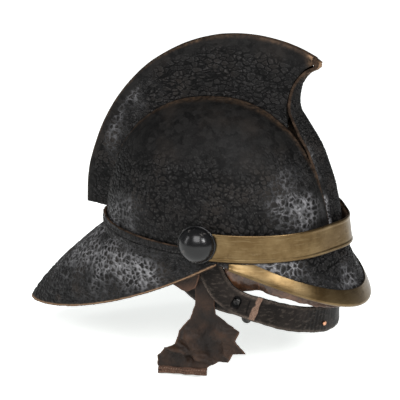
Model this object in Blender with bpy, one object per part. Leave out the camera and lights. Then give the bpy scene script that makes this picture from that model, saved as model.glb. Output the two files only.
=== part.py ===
"""Leather fire helmet with a tall comb, brass brow band and peak edge, lining and chin strap.

The front is +X and up is +Z. The origin is the middle of the head opening, at the foot of the crown.
The right side, at -Y, has the torn short strap and the torn lining. Lengths are in metres.
"""

import math

import bmesh
import bpy
import numpy as np
from mathutils import Matrix, Vector

# Crown: a superellipsoid, |x|^p + |y|^p + |z|^p = 1 on its half lengths
CROWN_FRONT = 0.102
CROWN_REAR = 0.131
CROWN_HALF_WIDTH = 0.092
CROWN_HEIGHT = 0.145
CROWN_POWER = 2.2
CROWN_MIDDLE_X = 0.008
CROWN_LEAN = 0.010
CROWN_FOOT = 0.002
CROWN_WALL = 0.0035
CORNER_RISE = 0.003

# Comb: a hollow crest whose outline is an ellipse, with a beak and a hollow throat in front
COMB_CENTRE_X = 0.0145
COMB_CENTRE_Z = 0.0205
COMB_OVERHANG = 0.0480
COMB_ABOVE_CROWN = 0.0567
COMB_TIP_SETBACK = 0.0225
COMB_HALF_LENGTH = (CROWN_FRONT + CROWN_REAR) / 2 + COMB_OVERHANG
COMB_RISE = CROWN_HEIGHT + COMB_ABOVE_CROWN - COMB_CENTRE_Z
COMB_TIP_X = CROWN_MIDDLE_X + CROWN_FRONT - COMB_TIP_SETBACK
COMB_WALL = 0.003
COMB_CREST_HALF = 0.0045
COMB_FOOT_HALF = 0.0169
COMB_FLARE = 1.25
COMB_TUCK = 0.006
WELT_HALF = 0.0012
WELT_DEPTH = 0.008
WELT_PROUD = 0.0008
FACING_WALL = 0.003
FACING_BULGE = 0.010
BEAK_BULGE = 0.0015
FACING_STATIONS = 30
FACING_SEAM_SHARE = 0.42
BEAK_SHARE = 0.0

# Neck guard
GUARD_WALL = 0.0026
GUARD_REACH = 0.091
GUARD_DROP = 0.0886
GUARD_FLARE = 0.0065
GUARD_TIP_X = CROWN_MIDDLE_X - CROWN_REAR - GUARD_REACH
GUARD_HALF_WIDTH = CROWN_HALF_WIDTH + GUARD_FLARE
GUARD_POWER = 1.75
FLANGE_TOP_REAR = 0.0188
FLANGE_TOP_SIDE = 0.0115
JOINT_X = 0.0175
JOINT_GAP = 0.0016
BRIM_KNEE = 0.0022

# Peak
PEAK_WALL = 0.0025
PEAK_REACH = 0.0260
PEAK_DROP = 0.053
PEAK_FLARE = 0.0060
PEAK_TOP = 0.0262
BROW_NOSE = 0.0073
BROW_NOSE_POWER = 40
BROW_LEAN = 0.14
BROW_REACH = CROWN_MIDDLE_X + CROWN_FRONT + BROW_NOSE
PEAK_TIP_X = BROW_REACH + PEAK_REACH
PEAK_HALF_WIDTH = CROWN_HALF_WIDTH + PEAK_FLARE

# Brass
BAND_BOTTOM = 0.0027
BAND_TOP = 0.0295
BAND_WALL = 0.0010
BINDING_WALL = 0.0009
BINDING_LEG = 0.0160
BINDING_INNER_LEG = 0.0080

# Side bosses and their bolts, on the strap's axis
BOSS_X = -0.002
BOSS_Z = 0.0185
BOSS_RADIUS = 0.0176
BOSS_HEIGHT = 0.0145
BOSS_WALL = 0.0014
PLATE_RADIUS = 0.0190
PLATE_WALL = 0.0016
BOLT_RADIUS = 0.0025
BOLT_REACH = 0.020
BOLT_PAST_NUT = 0.0008
BOLT_HEAD_RADIUS = 0.0075
BOLT_HEAD = 0.0028
NUT_RADIUS = 0.0055
NUT_WALL = 0.0032
WASHER_RADIUS = 0.0090
WASHER_WALL = 0.0013

# Lining
HEADBAND_WALL = 0.0020
HEADBAND_BOTTOM = -0.002
HEADBAND_TOP = 0.030
PIPING_RADIUS = 0.0016
TONGUES = 6
TONGUE_WALL = 0.0018
TONGUE_TOP = 0.772 * CROWN_HEIGHT
LACE_SHARE = 0.92
LACE_RADIUS = 0.0012
PEAK_LINING_WALL = 0.0022
LINING_DROP_MIDDLE = 0.0015  # how far the lining hangs below the rim at the front
LINING_DROP_SIDE = 0.0195  # how much further it hangs towards the sides
LINING_DROP_EAR = 0.0085  # the rest of the drop, in the ear at each side
LINING_PULL = 0.0105  # how far the ears are drawn in
PEAK_LINING_GAP = 0.0075
TORN_WALL = 0.0040
HEM_HEIGHT = 0.0070
HEM_WALL = 0.0030
GUARD_LINING_WALL = 0.0018

# Chin strap
STRAP_WIDTH = 0.0245
STRAP_WALL = 0.0026
STRAP_SETBACK = 0.0029
SHORT_STRAP_Y = CROWN_HALF_WIDTH - CROWN_WALL - STRAP_SETBACK - STRAP_WALL / 2
TORN_SETBACK = 0.0021
SLOT_LENGTH = 0.0130
SLOT_WIDTH = 0.0080
STUD_X = 0.0335
STUD_Z = -0.0405
STUD_RADIUS = 0.0032
STUD_HEAD = 0.0018
STUD_SHANK = 0.0017
STUD_REACH = 0.011
TAIL_STUD_X = -0.0125
TAIL_STUD_Z = -0.0465
TAIL_STUD_RADIUS = 0.0060
TAIL_STUD_DEPTH = 0.0050
KNOB_X = 0.0420
KNOB_Z = -0.0580
KNOB_RADIUS = 0.0050
KNOB_DEPTH = 0.0060
RIVET_X = 0.1060
RIVET_DROP = 0.0035
RIVET_RADIUS = 0.0024
RIVET_HEAD = 0.0012

TAIL_INSET = 0.0073

# Clearances
GAP = 0.0004
HOLE_CLEARANCE = 0.0004
HEADBAND_SPACE = 0.0006
TAIL_STUD_SPACE = 0.0020
STEPS_ROUND = 22

# What the headband leaves room for: a short strap and what clamps it
STRAP_STACK = STRAP_WALL + WASHER_WALL + NUT_WALL + BOLT_PAST_NUT + 2 * GAP
HEADBAND_INSET = CROWN_WALL + STRAP_SETBACK + STRAP_STACK + HEADBAND_SPACE

RIGHT, LEFT = -1, 1
SIDES = (("right", RIGHT), ("left", LEFT))


def clear_scene():
    for obj in list(bpy.data.objects):
        bpy.data.objects.remove(obj, do_unlink=True)


def material(name, colour, roughness, metallic=0.0):
    """A Principled material of one finish."""
    made = bpy.data.materials.new(name)
    made.use_nodes = True
    shader = made.node_tree.nodes["Principled BSDF"]
    shader.inputs["Base Color"].default_value = (*colour, 1.0)
    shader.inputs["Roughness"].default_value = roughness
    shader.inputs["Metallic"].default_value = metallic
    made.diffuse_color = (*colour, 1.0)
    return made


# Curves and grids


def signed_power(value, power):
    return np.sign(value) * np.abs(value) ** power


def smooth_curve(points, count):
    """A Catmull-Rom curve through the points, read at equal steps of its length."""
    points = np.asarray(points, float)
    ends = np.vstack([2 * points[0] - points[1], points, 2 * points[-1] - points[-2]])
    t = np.linspace(0, 1, 24, endpoint=False)[:, None]
    spans = []
    for a, b, c, d in zip(ends[:-3], ends[1:-2], ends[2:-1], ends[3:]):
        square, cube = 2 * a - 5 * b + 4 * c - d, 3 * b - a - 3 * c + d
        spans.append((2 * b + (c - a) * t + square * t**2 + cube * t**3) / 2)
    dense = np.vstack([*spans, points[-1:]])
    return even_steps(dense, count)


def even_steps(dense, count, start=0.0, end=1.0):
    """Points at equal steps of length along a polyline, from share start to share end of it."""
    along = np.concatenate([[0], np.cumsum(np.linalg.norm(np.diff(dense, axis=0), axis=1))])
    at = np.linspace(start, end, count) * along[-1]
    return np.stack([np.interp(at, along, dense[:, i]) for i in range(dense.shape[1])], axis=1)


def unit(vectors):
    return vectors / np.maximum(np.linalg.norm(vectors, axis=-1, keepdims=True), 1e-12)


def grid_normals(grid):
    """Unit normals of a grid of points, from the cross product of its two directions."""
    return unit(np.cross(np.gradient(grid, axis=0), np.gradient(grid, axis=1)))


def lengthwise(section, count):
    return np.repeat(np.asarray(section)[None], count, axis=0)


# Meshes


def add_mesh(name, points, faces, finish, smooth=True):
    """An object from points and faces, with doubled points merged and faces turned outwards."""
    mesh = bpy.data.meshes.new(name)
    mesh.from_pydata([tuple(map(float, p)) for p in points], [], faces)
    work = bmesh.new()
    work.from_mesh(mesh)
    bmesh.ops.remove_doubles(work, verts=work.verts, dist=1e-6)
    bmesh.ops.dissolve_degenerate(work, edges=work.edges, dist=1e-7)
    bmesh.ops.recalc_face_normals(work, faces=work.faces)
    work.to_mesh(mesh)
    work.free()
    obj = bpy.data.objects.new(name, mesh)
    bpy.context.scene.collection.objects.link(obj)
    mesh.materials.append(finish)
    if smooth:
        mesh.shade_smooth()
        mesh.set_sharp_from_angle(angle=math.radians(38))
    return obj


def grid_faces(rows, columns, start=0, round_rows=False, round_columns=False):
    faces = []
    for i in range(rows if round_rows else rows - 1):
        for j in range(columns if round_columns else columns - 1):
            a, b = i * columns + j, i * columns + (j + 1) % columns
            c, d = (i + 1) % rows * columns + (j + 1) % columns, (i + 1) % rows * columns + j
            faces.append((start + a, start + b, start + c, start + d))
    return faces


def plate(name, outer, inner, finish, ring=False):
    """A closed plate between two grids of the same shape. A ring closes on itself along its rows."""
    rows, columns = outer.shape[:2]
    count = rows * columns
    points = np.concatenate([outer.reshape(-1, 3), inner.reshape(-1, 3)])
    faces = grid_faces(rows, columns, round_rows=ring)
    faces += [tuple(reversed(f)) for f in grid_faces(rows, columns, count, round_rows=ring)]
    for i in range(rows if ring else rows - 1):
        k = (i + 1) % rows
        for j in (0, columns - 1):
            a, b = i * columns + j, k * columns + j
            faces.append((a, b, count + b, count + a) if j == 0 else (b, a, count + a, count + b))
    if not ring:
        for j in range(columns - 1):
            for i in (0, rows - 1):
                a, b = i * columns + j, i * columns + j + 1
                faces.append((b, a, count + a, count + b) if i == 0 else (a, b, count + b, count + a))
    return add_mesh(name, points, faces, finish)


def swept(name, sections, finish, caps=True, round_path=False):
    """A closed section carried along a path: sections is (stations, points round, 3)."""
    stations, around = sections.shape[:2]
    faces = grid_faces(stations, around, round_rows=round_path, round_columns=True)
    if caps and not round_path:
        faces.append(tuple(reversed(range(around))))
        faces.append(tuple((stations - 1) * around + i for i in range(around)))
    return add_mesh(name, sections.reshape(-1, 3), faces, finish)


def turned(name, profile, centre, side, finish, steps=STEPS_ROUND):
    """A profile of (radius, distance from the middle plane) points turned about a crosswise axis.

    A profile that starts and ends at radius 0 is solid, and one that doesn't is a ring.
    """
    turn = np.linspace(0, 2 * np.pi, steps, endpoint=False)
    profile = np.asarray(profile, float)
    x = centre[0] + profile[None, :, 0] * np.cos(turn)[:, None]
    z = centre[1] + profile[None, :, 0] * np.sin(turn)[:, None]
    y = lengthwise(side * profile[:, 1], steps)
    grid = np.stack([x, y, z], axis=-1)
    solid = profile[0, 0] == 0
    faces = grid_faces(steps, len(profile), round_rows=True, round_columns=not solid)
    return add_mesh(name, grid.reshape(-1, 3), faces, finish)


def tube_ring(name, centres, outward, radius, finish, around=8):
    """A round cord along a closed path, whose cross-section lies in the outward and upward directions."""
    turn = np.linspace(0, 2 * np.pi, around, endpoint=False)
    up = np.array([0.0, 0.0, 1.0])
    sections = (
        centres[:, None]
        + radius * np.cos(turn)[None, :, None] * outward[:, None]
        + radius * np.sin(turn)[None, :, None] * up
    )
    return swept(name, sections, finish, round_path=True)


def drill(target, centre, radius, near, far, side, name):
    """Cuts a round hole through a piece along the crosswise direction."""
    profile = [(0, near), (radius, near), (radius, far), (0, far)]
    cutter = turned(name, profile, centre, side, target.data.materials[0], steps=20)
    hide_cutter(cutter)
    cut(target, cutter)


def hide_cutter(cutter):
    cutter.hide_render = True
    cutter.display_type = "WIRE"


def cut(target, cutter):
    boolean = target.modifiers.new(cutter.name, "BOOLEAN")
    boolean.operation = "DIFFERENCE"
    boolean.solver = "EXACT"
    boolean.object = cutter


# Crown surface


def crown_taper(z, inset=0.0):
    """Share of the foot's size that the crown has at height z, and the middle of that level."""
    t = np.clip(z / (CROWN_HEIGHT - inset), 0, 1)
    return (1 - t**CROWN_POWER) ** (1 / CROWN_POWER), CROWN_MIDDLE_X - CROWN_LEAN * t


def crown_ring(turn, z, out):
    """Points round the crown at height z, moved out from its surface: x runs with cos, y with -sin."""
    size, middle = crown_taper(z)
    c, s = (signed_power(f(turn), 2 / CROWN_POWER) for f in (np.cos, np.sin))
    length = np.where(c > 0, CROWN_FRONT, CROWN_REAR) + out
    x = middle + length * size * c
    y = -(CROWN_HALF_WIDTH + out) * size * s
    return np.stack([x, y, z + 0 * x], axis=-1)


def upright_ring(turn, z, out):
    """The ring round the crown's foot, lifted to height z without the crown's taper."""
    return crown_ring(turn, 0.0, out) + np.array([0.0, 0.0, 1.0]) * z


def brow_ring(turn, z, out):
    """As upright_ring, but with a nose round the comb's foot, and leaning back from its foot in front."""
    ahead = np.clip(np.cos(turn), 0, 1)
    lean = BROW_LEAN * np.clip(BAND_TOP - z, 0, BAND_TOP)
    ring = upright_ring(turn, z, out)
    ring[..., 0] += BROW_NOSE * ahead**BROW_NOSE_POWER + lean * ahead**4
    return ring


def side_angle(x):
    """The turn at which a ring round the crown's foot passes a given x on the right side."""
    length = CROWN_FRONT if x > CROWN_MIDDLE_X else CROWN_REAR
    return math.acos(float(signed_power((x - CROWN_MIDDLE_X) / length, CROWN_POWER / 2)))


def crown_panel(inset, side, along=21, up=10):
    """Grid of one half of the crown, from its foot to the comb, each end a short edge beside the comb."""
    a_front, a_rear = CROWN_FRONT - inset, CROWN_REAR - inset
    b, h, p = CROWN_HALF_WIDTH - inset, CROWN_HEIGHT - inset, CROWN_POWER
    foot, seam = CROWN_FOOT / h, (COMB_FOOT_HALF + GAP) / b
    least = ((CROWN_FOOT + CORNER_RISE) / h) ** p + seam**p
    start = math.asin(math.sqrt(least))
    eta = np.linspace(start, np.pi - start, along)[:, None]
    s = np.sin(eta) ** (2 / p)
    low = np.arcsin((foot / s) ** (p / 2))
    high = np.arccos((seam / s) ** (p / 2))
    beta = low + (high - low) * np.linspace(0, 1, up)[None]
    t = s * np.sin(beta) ** (2 / p)
    c = signed_power(np.cos(eta), 2 / p)
    x = CROWN_MIDDLE_X - CROWN_LEAN * t + np.where(c > 0, a_front, a_rear) * c
    y = side * b * s * np.cos(beta) ** (2 / p)
    return np.stack([x, y, h * t], axis=-1)


def crown_half(label, side, finish):
    obj = plate(f"crown_{label}", crown_panel(0, side), crown_panel(CROWN_WALL, side), finish)
    drill_for_bolt(obj, side)
    return obj


def drill_for_bolt(obj, side):
    far = CROWN_HALF_WIDTH + BOLT_REACH
    radius = BOLT_RADIUS + HOLE_CLEARANCE
    near = CROWN_HALF_WIDTH - BOLT_REACH
    drill(obj, (BOSS_X, BOSS_Z), radius, near, far, side, f"cut_{obj.name}_{side + 1}")


# Comb


def heel_height():
    return FLANGE_TOP_REAR + 2 * GAP


def crest(count, inset=0.0, end=COMB_TIP_X):
    """The comb's top outline from heel to beak, an ellipse, as x and z."""
    a, b = COMB_HALF_LENGTH - inset, COMB_RISE - inset
    heel = math.pi - math.asin((heel_height() - COMB_CENTRE_Z) / b)
    beak = math.acos((end - COMB_CENTRE_X) / a)
    turn = np.linspace(heel, beak, count)
    return np.stack([COMB_CENTRE_X + a * np.cos(turn), COMB_CENTRE_Z + b * np.sin(turn)], axis=1)


def beak_height():
    share = (COMB_TIP_X - COMB_CENTRE_X) / COMB_HALF_LENGTH
    return COMB_CENTRE_Z + COMB_RISE * math.sqrt(1 - share**2)


def front_line(count):
    """The comb's front outline down its middle: beak, hollow throat, then the brow down to the foot."""
    top, tip, brow, height = beak_height(), COMB_TIP_X, BROW_REACH, CROWN_HEIGHT
    points = [
        (tip + 0.0045, top - 0.0030), (tip + 0.0030, top - 0.0085), (tip - 0.0060, top - 0.0140),
        (tip - 0.0130, top - 0.0240), (tip - 0.0162, top - 0.0370), (tip - 0.0150, top - 0.0500),
        (tip - 0.0095, top - 0.0590), (tip - 0.0010, top - 0.0720), (brow - 0.0225, 0.672 * height),
        (brow - 0.0145, 0.531 * height), (brow - 0.0085, 0.400 * height), (brow - 0.0045, 0.269 * height),
        (brow - 0.0020, 0.138 * height), (brow - 0.0005, CROWN_FOOT),
    ]
    return smooth_curve(points, count)


def comb_half(share):
    """Half thickness of the comb from its crest, share 0, to where it enters the crown, share 1."""
    return COMB_CREST_HALF + (COMB_FOOT_HALF - COMB_CREST_HALF) * np.clip(share, 0, 1) ** COMB_FLARE


def facing_bulge(share):
    """How far the facing's middle stands in front of its edges."""
    return BEAK_BULGE + (FACING_BULGE - BEAK_BULGE) * np.clip(share, 0, 1)


def seam_line(count, front_height):
    """Where a leaf of the comb ends, just inside the crown, from its heel to its front, as x and z."""
    p, h, b = CROWN_POWER, CROWN_HEIGHT - COMB_TUCK, CROWN_HALF_WIDTH - COMB_TUCK
    room = (1 - (COMB_FOOT_HALF / b) ** p) ** (1 / p)
    low, end = heel_height() / h / room, front_height / h / room
    turn = np.linspace(math.pi - math.asin(low ** (p / 2)), math.asin(end ** (p / 2)), count)
    t = room * np.sin(turn) ** (2 / p)
    c = room * signed_power(np.cos(turn), 2 / p)
    length = np.where(c > 0, CROWN_FRONT, CROWN_REAR) - COMB_TUCK
    return np.stack([CROWN_MIDDLE_X - CROWN_LEAN * t + length * c, h * t], axis=1)


def leaf_grid(along=22, down=8):
    """x, z and the share from crest to crown of one leaf: a Coons patch between its four edges."""
    share = np.linspace(0, 1, down)
    line = front_line(200)
    back = unit(np.gradient(line, axis=0))[:, ::-1] * np.array([1.0, -1.0])
    behind = line + (FACING_WALL + 2 * GAP) * back
    front = even_steps(behind, down, BEAK_SHARE, FACING_SEAM_SHARE)
    front[:, 0] -= facing_bulge(share)
    top = crest(along, 0.0, float(front[0, 0]))
    foot = seam_line(along, float(front[-1, 1]))
    front = front + share[:, None] ** 6 * (foot[-1] - front[-1])
    front = front + (1 - share)[:, None] ** 6 * (top[-1] - front[0])
    heel = top[0] + (foot[0] - top[0]) * share[:, None]
    u = np.linspace(0, 1, along)[:, None, None]
    v = share[None, :, None]
    ruled = (1 - v) * top[:, None] + v * foot[:, None]
    crossed = (1 - u) * heel[None] + u * front[None]
    corners = (1 - u) * ((1 - v) * top[0] + v * foot[0]) + u * ((1 - v) * top[-1] + v * foot[-1])
    return ruled + crossed - corners, share


def comb_leaf(label, side, finish):
    flat, share = leaf_grid()
    half = np.broadcast_to(comb_half(share), flat.shape[:2])
    outer = np.stack([flat[..., 0], side * half, flat[..., 1]], axis=-1)
    inner = np.stack([flat[..., 0], side * (half - COMB_WALL), flat[..., 1]], axis=-1)
    return plate(f"comb_{label}", outer, inner, finish)


def comb_welt(finish):
    """The strip between the leaves along the crest, standing a little proud of them."""
    end = COMB_TIP_X - 2 * FACING_WALL
    outer, inner = crest(26, -WELT_PROUD, end), crest(26, WELT_DEPTH, end)
    grids = []
    for half in (WELT_HALF, -WELT_HALF):
        rows = np.stack([outer, inner], axis=1)
        grids.append(np.stack([rows[..., 0], half + 0 * rows[..., 0], rows[..., 1]], axis=-1))
    return plate("comb_welt", grids[0], grids[1], finish)


def comb_front_facing(finish):
    """The rounded facing: at each station of the front line a parabola x = middle - bulge (y / half)^2."""
    line = front_line(FACING_STATIONS)
    share = np.linspace(0, 1, FACING_STATIONS) / FACING_SEAM_SHARE
    half, bulge = comb_half(share), facing_bulge(share)
    across = np.linspace(-1, 1, 7)
    tangent = unit(np.gradient(line, axis=0))
    back = np.stack([tangent[:, 1], -tangent[:, 0]], axis=1)
    x = line[:, None, 0] - bulge[:, None] * across[None] ** 2
    y = half[:, None] * across[None]
    z = np.repeat(line[:, 1:], len(across), axis=1)
    outer = np.stack([x, y, z], axis=-1)
    inner = outer + FACING_WALL * np.stack([back[:, 0], 0 * back[:, 0], back[:, 1]], axis=1)[:, None]
    return plate("comb_front_facing", outer, inner, finish)


# Brims


def brim_curve(top, rim, leave, arrive, steps):
    """An upright flange from top to the knee, then a cubic Bezier out to the rim: (stations, steps, 3).

    leave and arrive are how far the Bezier's handles go out and up, as shares of its length.
    """
    up = np.array([0.0, 0.0, 1.0])
    knee = top * np.array([1.0, 1.0, 0.0]) + BRIM_KNEE * up
    length = np.linalg.norm(rim - knee, axis=1, keepdims=True)
    out = unit((rim - knee) * np.array([1.0, 1.0, 0.0]))
    first = knee + length * (leave[0] * out + leave[1] * up)
    second = rim + length * (arrive[0] * out + arrive[1] * up)
    t = np.linspace(0, 1, steps)[None, 1:, None]
    flare = (
        (1 - t) ** 3 * knee[:, None]
        + 3 * t * (1 - t) ** 2 * first[:, None]
        + 3 * t**2 * (1 - t) * second[:, None]
        + t**3 * rim[:, None]
    )
    return np.concatenate([top[:, None], (top[:, None] + knee[:, None]) / 2, knee[:, None], flare], axis=1)


def guard_turns(count):
    start = side_angle(JOINT_X - JOINT_GAP / 2)
    return np.linspace(start, 2 * math.pi - start, count)


def guard_surface(count=33, steps=9):
    """The neck guard's outer face: flange over the crown's foot, then a long flared brim."""
    turn = guard_turns(count)
    back = np.clip(-np.cos(turn), 0, 1)
    flange = FLANGE_TOP_SIDE + (FLANGE_TOP_REAR - FLANGE_TOP_SIDE) * back**1.5
    top = np.stack([upright_ring(t, z, GAP + GUARD_WALL) for t, z in zip(turn, flange)])
    top[:, 0] -= CROWN_LEAN * flange / CROWN_HEIGHT * back
    side = np.linspace(-1, 1, count)
    angle = np.sign(side) * np.abs(side) * math.pi / 2
    start = JOINT_X - JOINT_GAP / 2
    reach = start - GUARD_TIP_X
    x = start - reach * np.abs(np.cos(angle)) ** (2 / GUARD_POWER)
    y = GUARD_HALF_WIDTH * signed_power(np.sin(angle), 2 / GUARD_POWER)
    share = (start - x) / reach
    z = -GUARD_DROP * (1.571 * share - 0.571 * share**2)
    rim = np.stack([x, y, z], axis=1)
    return brim_curve(top, rim, (0.10, -0.07), (-0.144, 0.27), steps)


def inner_face(grid, wall):
    """The grid moved inwards by a wall, along its own normals."""
    normal = grid_normals(grid)
    centre = np.array([CROWN_MIDDLE_X, 0.0, 0.0])
    facing = np.sign(np.sum(normal * (grid - centre), axis=-1, keepdims=True).mean())
    return grid - facing * normal * wall


def neck_guard(finish):
    outer = guard_surface()
    obj = plate("neck_guard", outer, inner_face(outer, GUARD_WALL), finish)
    drill_for_bolt(obj, RIGHT)
    drill_for_bolt(obj, LEFT)
    return obj


def peak_turns(count):
    start = side_angle(JOINT_X + JOINT_GAP / 2)
    return np.linspace(start, -start, count)


def peak_surface(count=29, steps=8):
    """The front peak's outer face: flange under the band, then a short steep brim."""
    turn = peak_turns(count)
    top = np.stack([brow_ring(t, PEAK_TOP, GAP + PEAK_WALL) for t in turn])
    angle = np.linspace(-1, 1, count) * math.pi / 2
    start = JOINT_X + JOINT_GAP / 2
    reach = PEAK_TIP_X - start
    x = start + reach * np.cos(angle)
    y = PEAK_HALF_WIDTH * np.sin(angle)
    z = -PEAK_DROP * np.cos(angle) ** 1.25
    rim = np.stack([x, y, z], axis=1)
    return brim_curve(top, rim, (0.10, -0.30), (-0.10, 0.26), steps)


def front_peak(finish):
    outer = peak_surface()
    return plate("front_peak", outer, inner_face(outer, PEAK_WALL), finish)


# Brass


def front_band(finish):
    """The brow band: a strip round the brow from boss to boss, standing off the peak's flange."""
    start = side_angle(BOSS_X - 0.011)
    turn = np.linspace(start, -start, 47)
    heights = np.linspace(BAND_BOTTOM, BAND_TOP, 3)
    stand = 2 * GAP + max(PEAK_WALL, GUARD_WALL)
    outer, inner = (
        np.stack([np.stack([brow_ring(t, z, out) for z in heights]) for t in turn])
        for out in (stand + BAND_WALL, stand)
    )
    obj = plate("front_band", outer, inner, finish)
    drill_for_bolt(obj, RIGHT)
    drill_for_bolt(obj, LEFT)
    return obj


def back_from_rim(dense, distance, steps):
    """Points on each station's curve from a distance above its rim down to the rim."""
    rows = []
    for curve, reach in zip(dense, distance):
        along = np.concatenate([[0], np.cumsum(np.linalg.norm(np.diff(curve, axis=0), axis=1))])
        share = max(1 - reach / along[-1], 0.0)
        rows.append(even_steps(curve, steps, share, 1.0))
    return np.stack(rows)


def peak_binding(finish):
    """The channel folded over the peak's rim: an outer leg, the fold and a shorter inner leg."""
    outer = peak_surface(count=35, steps=41)
    inner = inner_face(outer, PEAK_WALL)
    keep = slice(1, -1)
    outer, inner = outer[keep], inner[keep]
    normal = grid_normals(outer)
    normal *= np.sign(np.sum(normal[:, -1] * (outer[:, -1] - inner[:, -1])))
    rim_normal = normal[:, -1]
    down = unit(outer[:, -1] - outer[:, -3])
    under_band = []
    for curve in outer:
        below = curve[:, 2] < BAND_BOTTOM - 2 * GAP
        first = np.argmax(below) if below.any() else len(curve) - 2
        under_band.append(np.sum(np.linalg.norm(np.diff(curve[first:], axis=0), axis=1)))
    leg = np.clip(under_band, 0.0012, BINDING_LEG)
    inner_leg = np.minimum(leg, BINDING_INNER_LEG)
    out_points = back_from_rim(outer, leg, 4)
    in_points = back_from_rim(inner, inner_leg, 3)
    near, far = GAP, GAP + BINDING_WALL
    push = rim_normal[:, None]
    step = down[:, None]
    loop = [
        out_points + far * push,
        out_points[:, -1:] + far * push + far * step,
        in_points[:, -1:] - far * push + far * step,
        (in_points - far * push)[:, ::-1],
        in_points - near * push,
        in_points[:, -1:] - near * push + near * step,
        out_points[:, -1:] + near * push + near * step,
        (out_points + near * push)[:, ::-1],
    ]
    sections = np.concatenate(loop, axis=1)
    around = sections.shape[1]
    obj_faces = grid_faces(len(sections), around, round_columns=True)
    for station in (0, len(sections) - 1):
        base = station * around
        obj_faces += [(base + j, base + j + 1, base + around - 2 - j, base + around - 1 - j)
                      for j in range(around // 2 - 1)]
    return add_mesh("peak_binding", sections.reshape(-1, 3), obj_faces, finish)


# Bosses, bolts and what they hold


def plate_face():
    """Distance from the middle plane to the inner face of a boss's plate."""
    stand = 2 * GAP + max(PEAK_WALL, GUARD_WALL) + BAND_WALL
    return CROWN_HALF_WIDTH + stand + GAP


def boss(label, side, black, brass, iron):
    centre = (BOSS_X, BOSS_Z)
    hole = BOLT_RADIUS + HOLE_CLEARANCE
    face = plate_face()
    seat = face + PLATE_WALL
    turned(
        f"boss_plate_{label}",
        [(hole, face), (PLATE_RADIUS - 0.0006, face), (PLATE_RADIUS, face + 0.0006),
         (PLATE_RADIUS - 0.0005, seat - 0.0002), (PLATE_RADIUS - 0.0015, seat), (hole, seat)],
        centre, side, black,
    )
    base = seat + GAP
    turn = np.linspace(0, math.pi / 2, 6)
    shell = [(BOSS_RADIUS * math.cos(t), base + BOSS_HEIGHT * math.sin(t)) for t in turn]
    shell[-1] = (0, base + BOSS_HEIGHT)
    inside = [
        ((BOSS_RADIUS - BOSS_WALL) * math.cos(t), base + (BOSS_HEIGHT - BOSS_WALL) * math.sin(t))
        for t in turn[::-1]
    ]
    inside[0] = (0, base + BOSS_HEIGHT - BOSS_WALL)
    turned(f"boss_dome_{label}", shell[::-1] + inside[::-1], centre, side, black)
    head = base
    tip = nut_face() - NUT_WALL - BOLT_PAST_NUT
    turned(
        f"boss_bolt_{label}",
        [(0, head + BOLT_HEAD), (BOLT_HEAD_RADIUS, head + BOLT_HEAD), (BOLT_HEAD_RADIUS, head),
         (BOLT_RADIUS, head), (BOLT_RADIUS, tip), (0, tip)],
        centre, side, iron, steps=20,
    )
    washer = SHORT_STRAP_Y - STRAP_WALL / 2 - GAP
    turned(
        f"boss_washer_{label}",
        [(hole, washer), (WASHER_RADIUS, washer), (WASHER_RADIUS, washer - WASHER_WALL),
         (hole, washer - WASHER_WALL)],
        centre, side, brass, steps=24,
    )
    nut = nut_face()
    turned(
        f"boss_nut_{label}",
        [(hole, nut), (NUT_RADIUS, nut), (NUT_RADIUS, nut - NUT_WALL), (hole, nut - NUT_WALL)],
        centre, side, iron, steps=6,
    )


def nut_face():
    return SHORT_STRAP_Y - STRAP_WALL / 2 - WASHER_WALL - 2 * GAP


# Lining


def headband_rings(out, heights, count=40):
    turn = np.linspace(0, 2 * math.pi, count, endpoint=False)
    rows = []
    for t in turn:
        rows.append(np.stack([crown_ring(t, max(z, 0), out) + [0, 0, min(z, 0)] for z in heights]))
    return np.stack(rows)


def headband_inside():
    """Distance from the middle plane to the headband's inner face at its widest."""
    return CROWN_HALF_WIDTH - HEADBAND_INSET - HEADBAND_WALL


def headband(finish):
    heights = np.linspace(HEADBAND_BOTTOM, HEADBAND_TOP, 3)
    outer = headband_rings(-HEADBAND_INSET, heights)
    inner = headband_rings(-HEADBAND_INSET - HEADBAND_WALL, heights)
    return plate("headband", outer, inner, finish, ring=True)


def headband_piping(finish):
    z = HEADBAND_BOTTOM - GAP - PIPING_RADIUS
    middle = headband_rings(-HEADBAND_INSET - HEADBAND_WALL / 2, [z])[:, 0]
    outward = unit(middle * np.array([1.0, 1.0, 0.0]))
    return tube_ring("headband_piping", middle, outward, PIPING_RADIUS, finish, around=6)


def liner_tongue(index, finish):
    """One tongue: a strip up the crown's inside, its half angle shrinking from the band to its tip."""
    middle = 2 * math.pi * (index + 0.5) / TONGUES
    heights = np.linspace(HEADBAND_TOP + GAP, TONGUE_TOP, 7)
    share = np.linspace(0, 1, 7)
    half = math.pi / TONGUES * (0.93 - 0.25 * share)
    across = np.linspace(-1, 1, 5)
    grids = []
    for inset in (HEADBAND_INSET, HEADBAND_INSET + TONGUE_WALL):
        rows = []
        for z, width in zip(heights, half):
            size, centre = crown_taper(z, inset)
            turn = middle + across * width
            c, s = signed_power(np.cos(turn), 2 / CROWN_POWER), signed_power(np.sin(turn), 2 / CROWN_POWER)
            length = np.where(c > 0, CROWN_FRONT, CROWN_REAR) - inset
            x = centre + length * size * c
            y = -(CROWN_HALF_WIDTH - inset) * size * s
            rows.append(np.stack([x, y, z + 0 * x], axis=-1))
        grids.append(np.stack(rows))
    return plate(f"liner_tongue_{index + 1}", grids[0], grids[1], finish)


def liner_lace(finish):
    z = TONGUE_TOP + GAP + LACE_RADIUS
    turn = np.linspace(0, 2 * math.pi, 24, endpoint=False)
    outward = np.stack([np.cos(turn), np.sin(turn), 0 * turn], axis=1)
    size, middle = crown_taper(TONGUE_TOP, HEADBAND_INSET)
    reach = np.array([size * (CROWN_REAR - HEADBAND_INSET), size * (CROWN_HALF_WIDTH - HEADBAND_INSET), 0])
    centres = outward * reach * LACE_SHARE + np.array([middle, 0, z])
    return tube_ring("liner_lace", centres, outward, LACE_RADIUS, finish, around=6)


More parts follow.
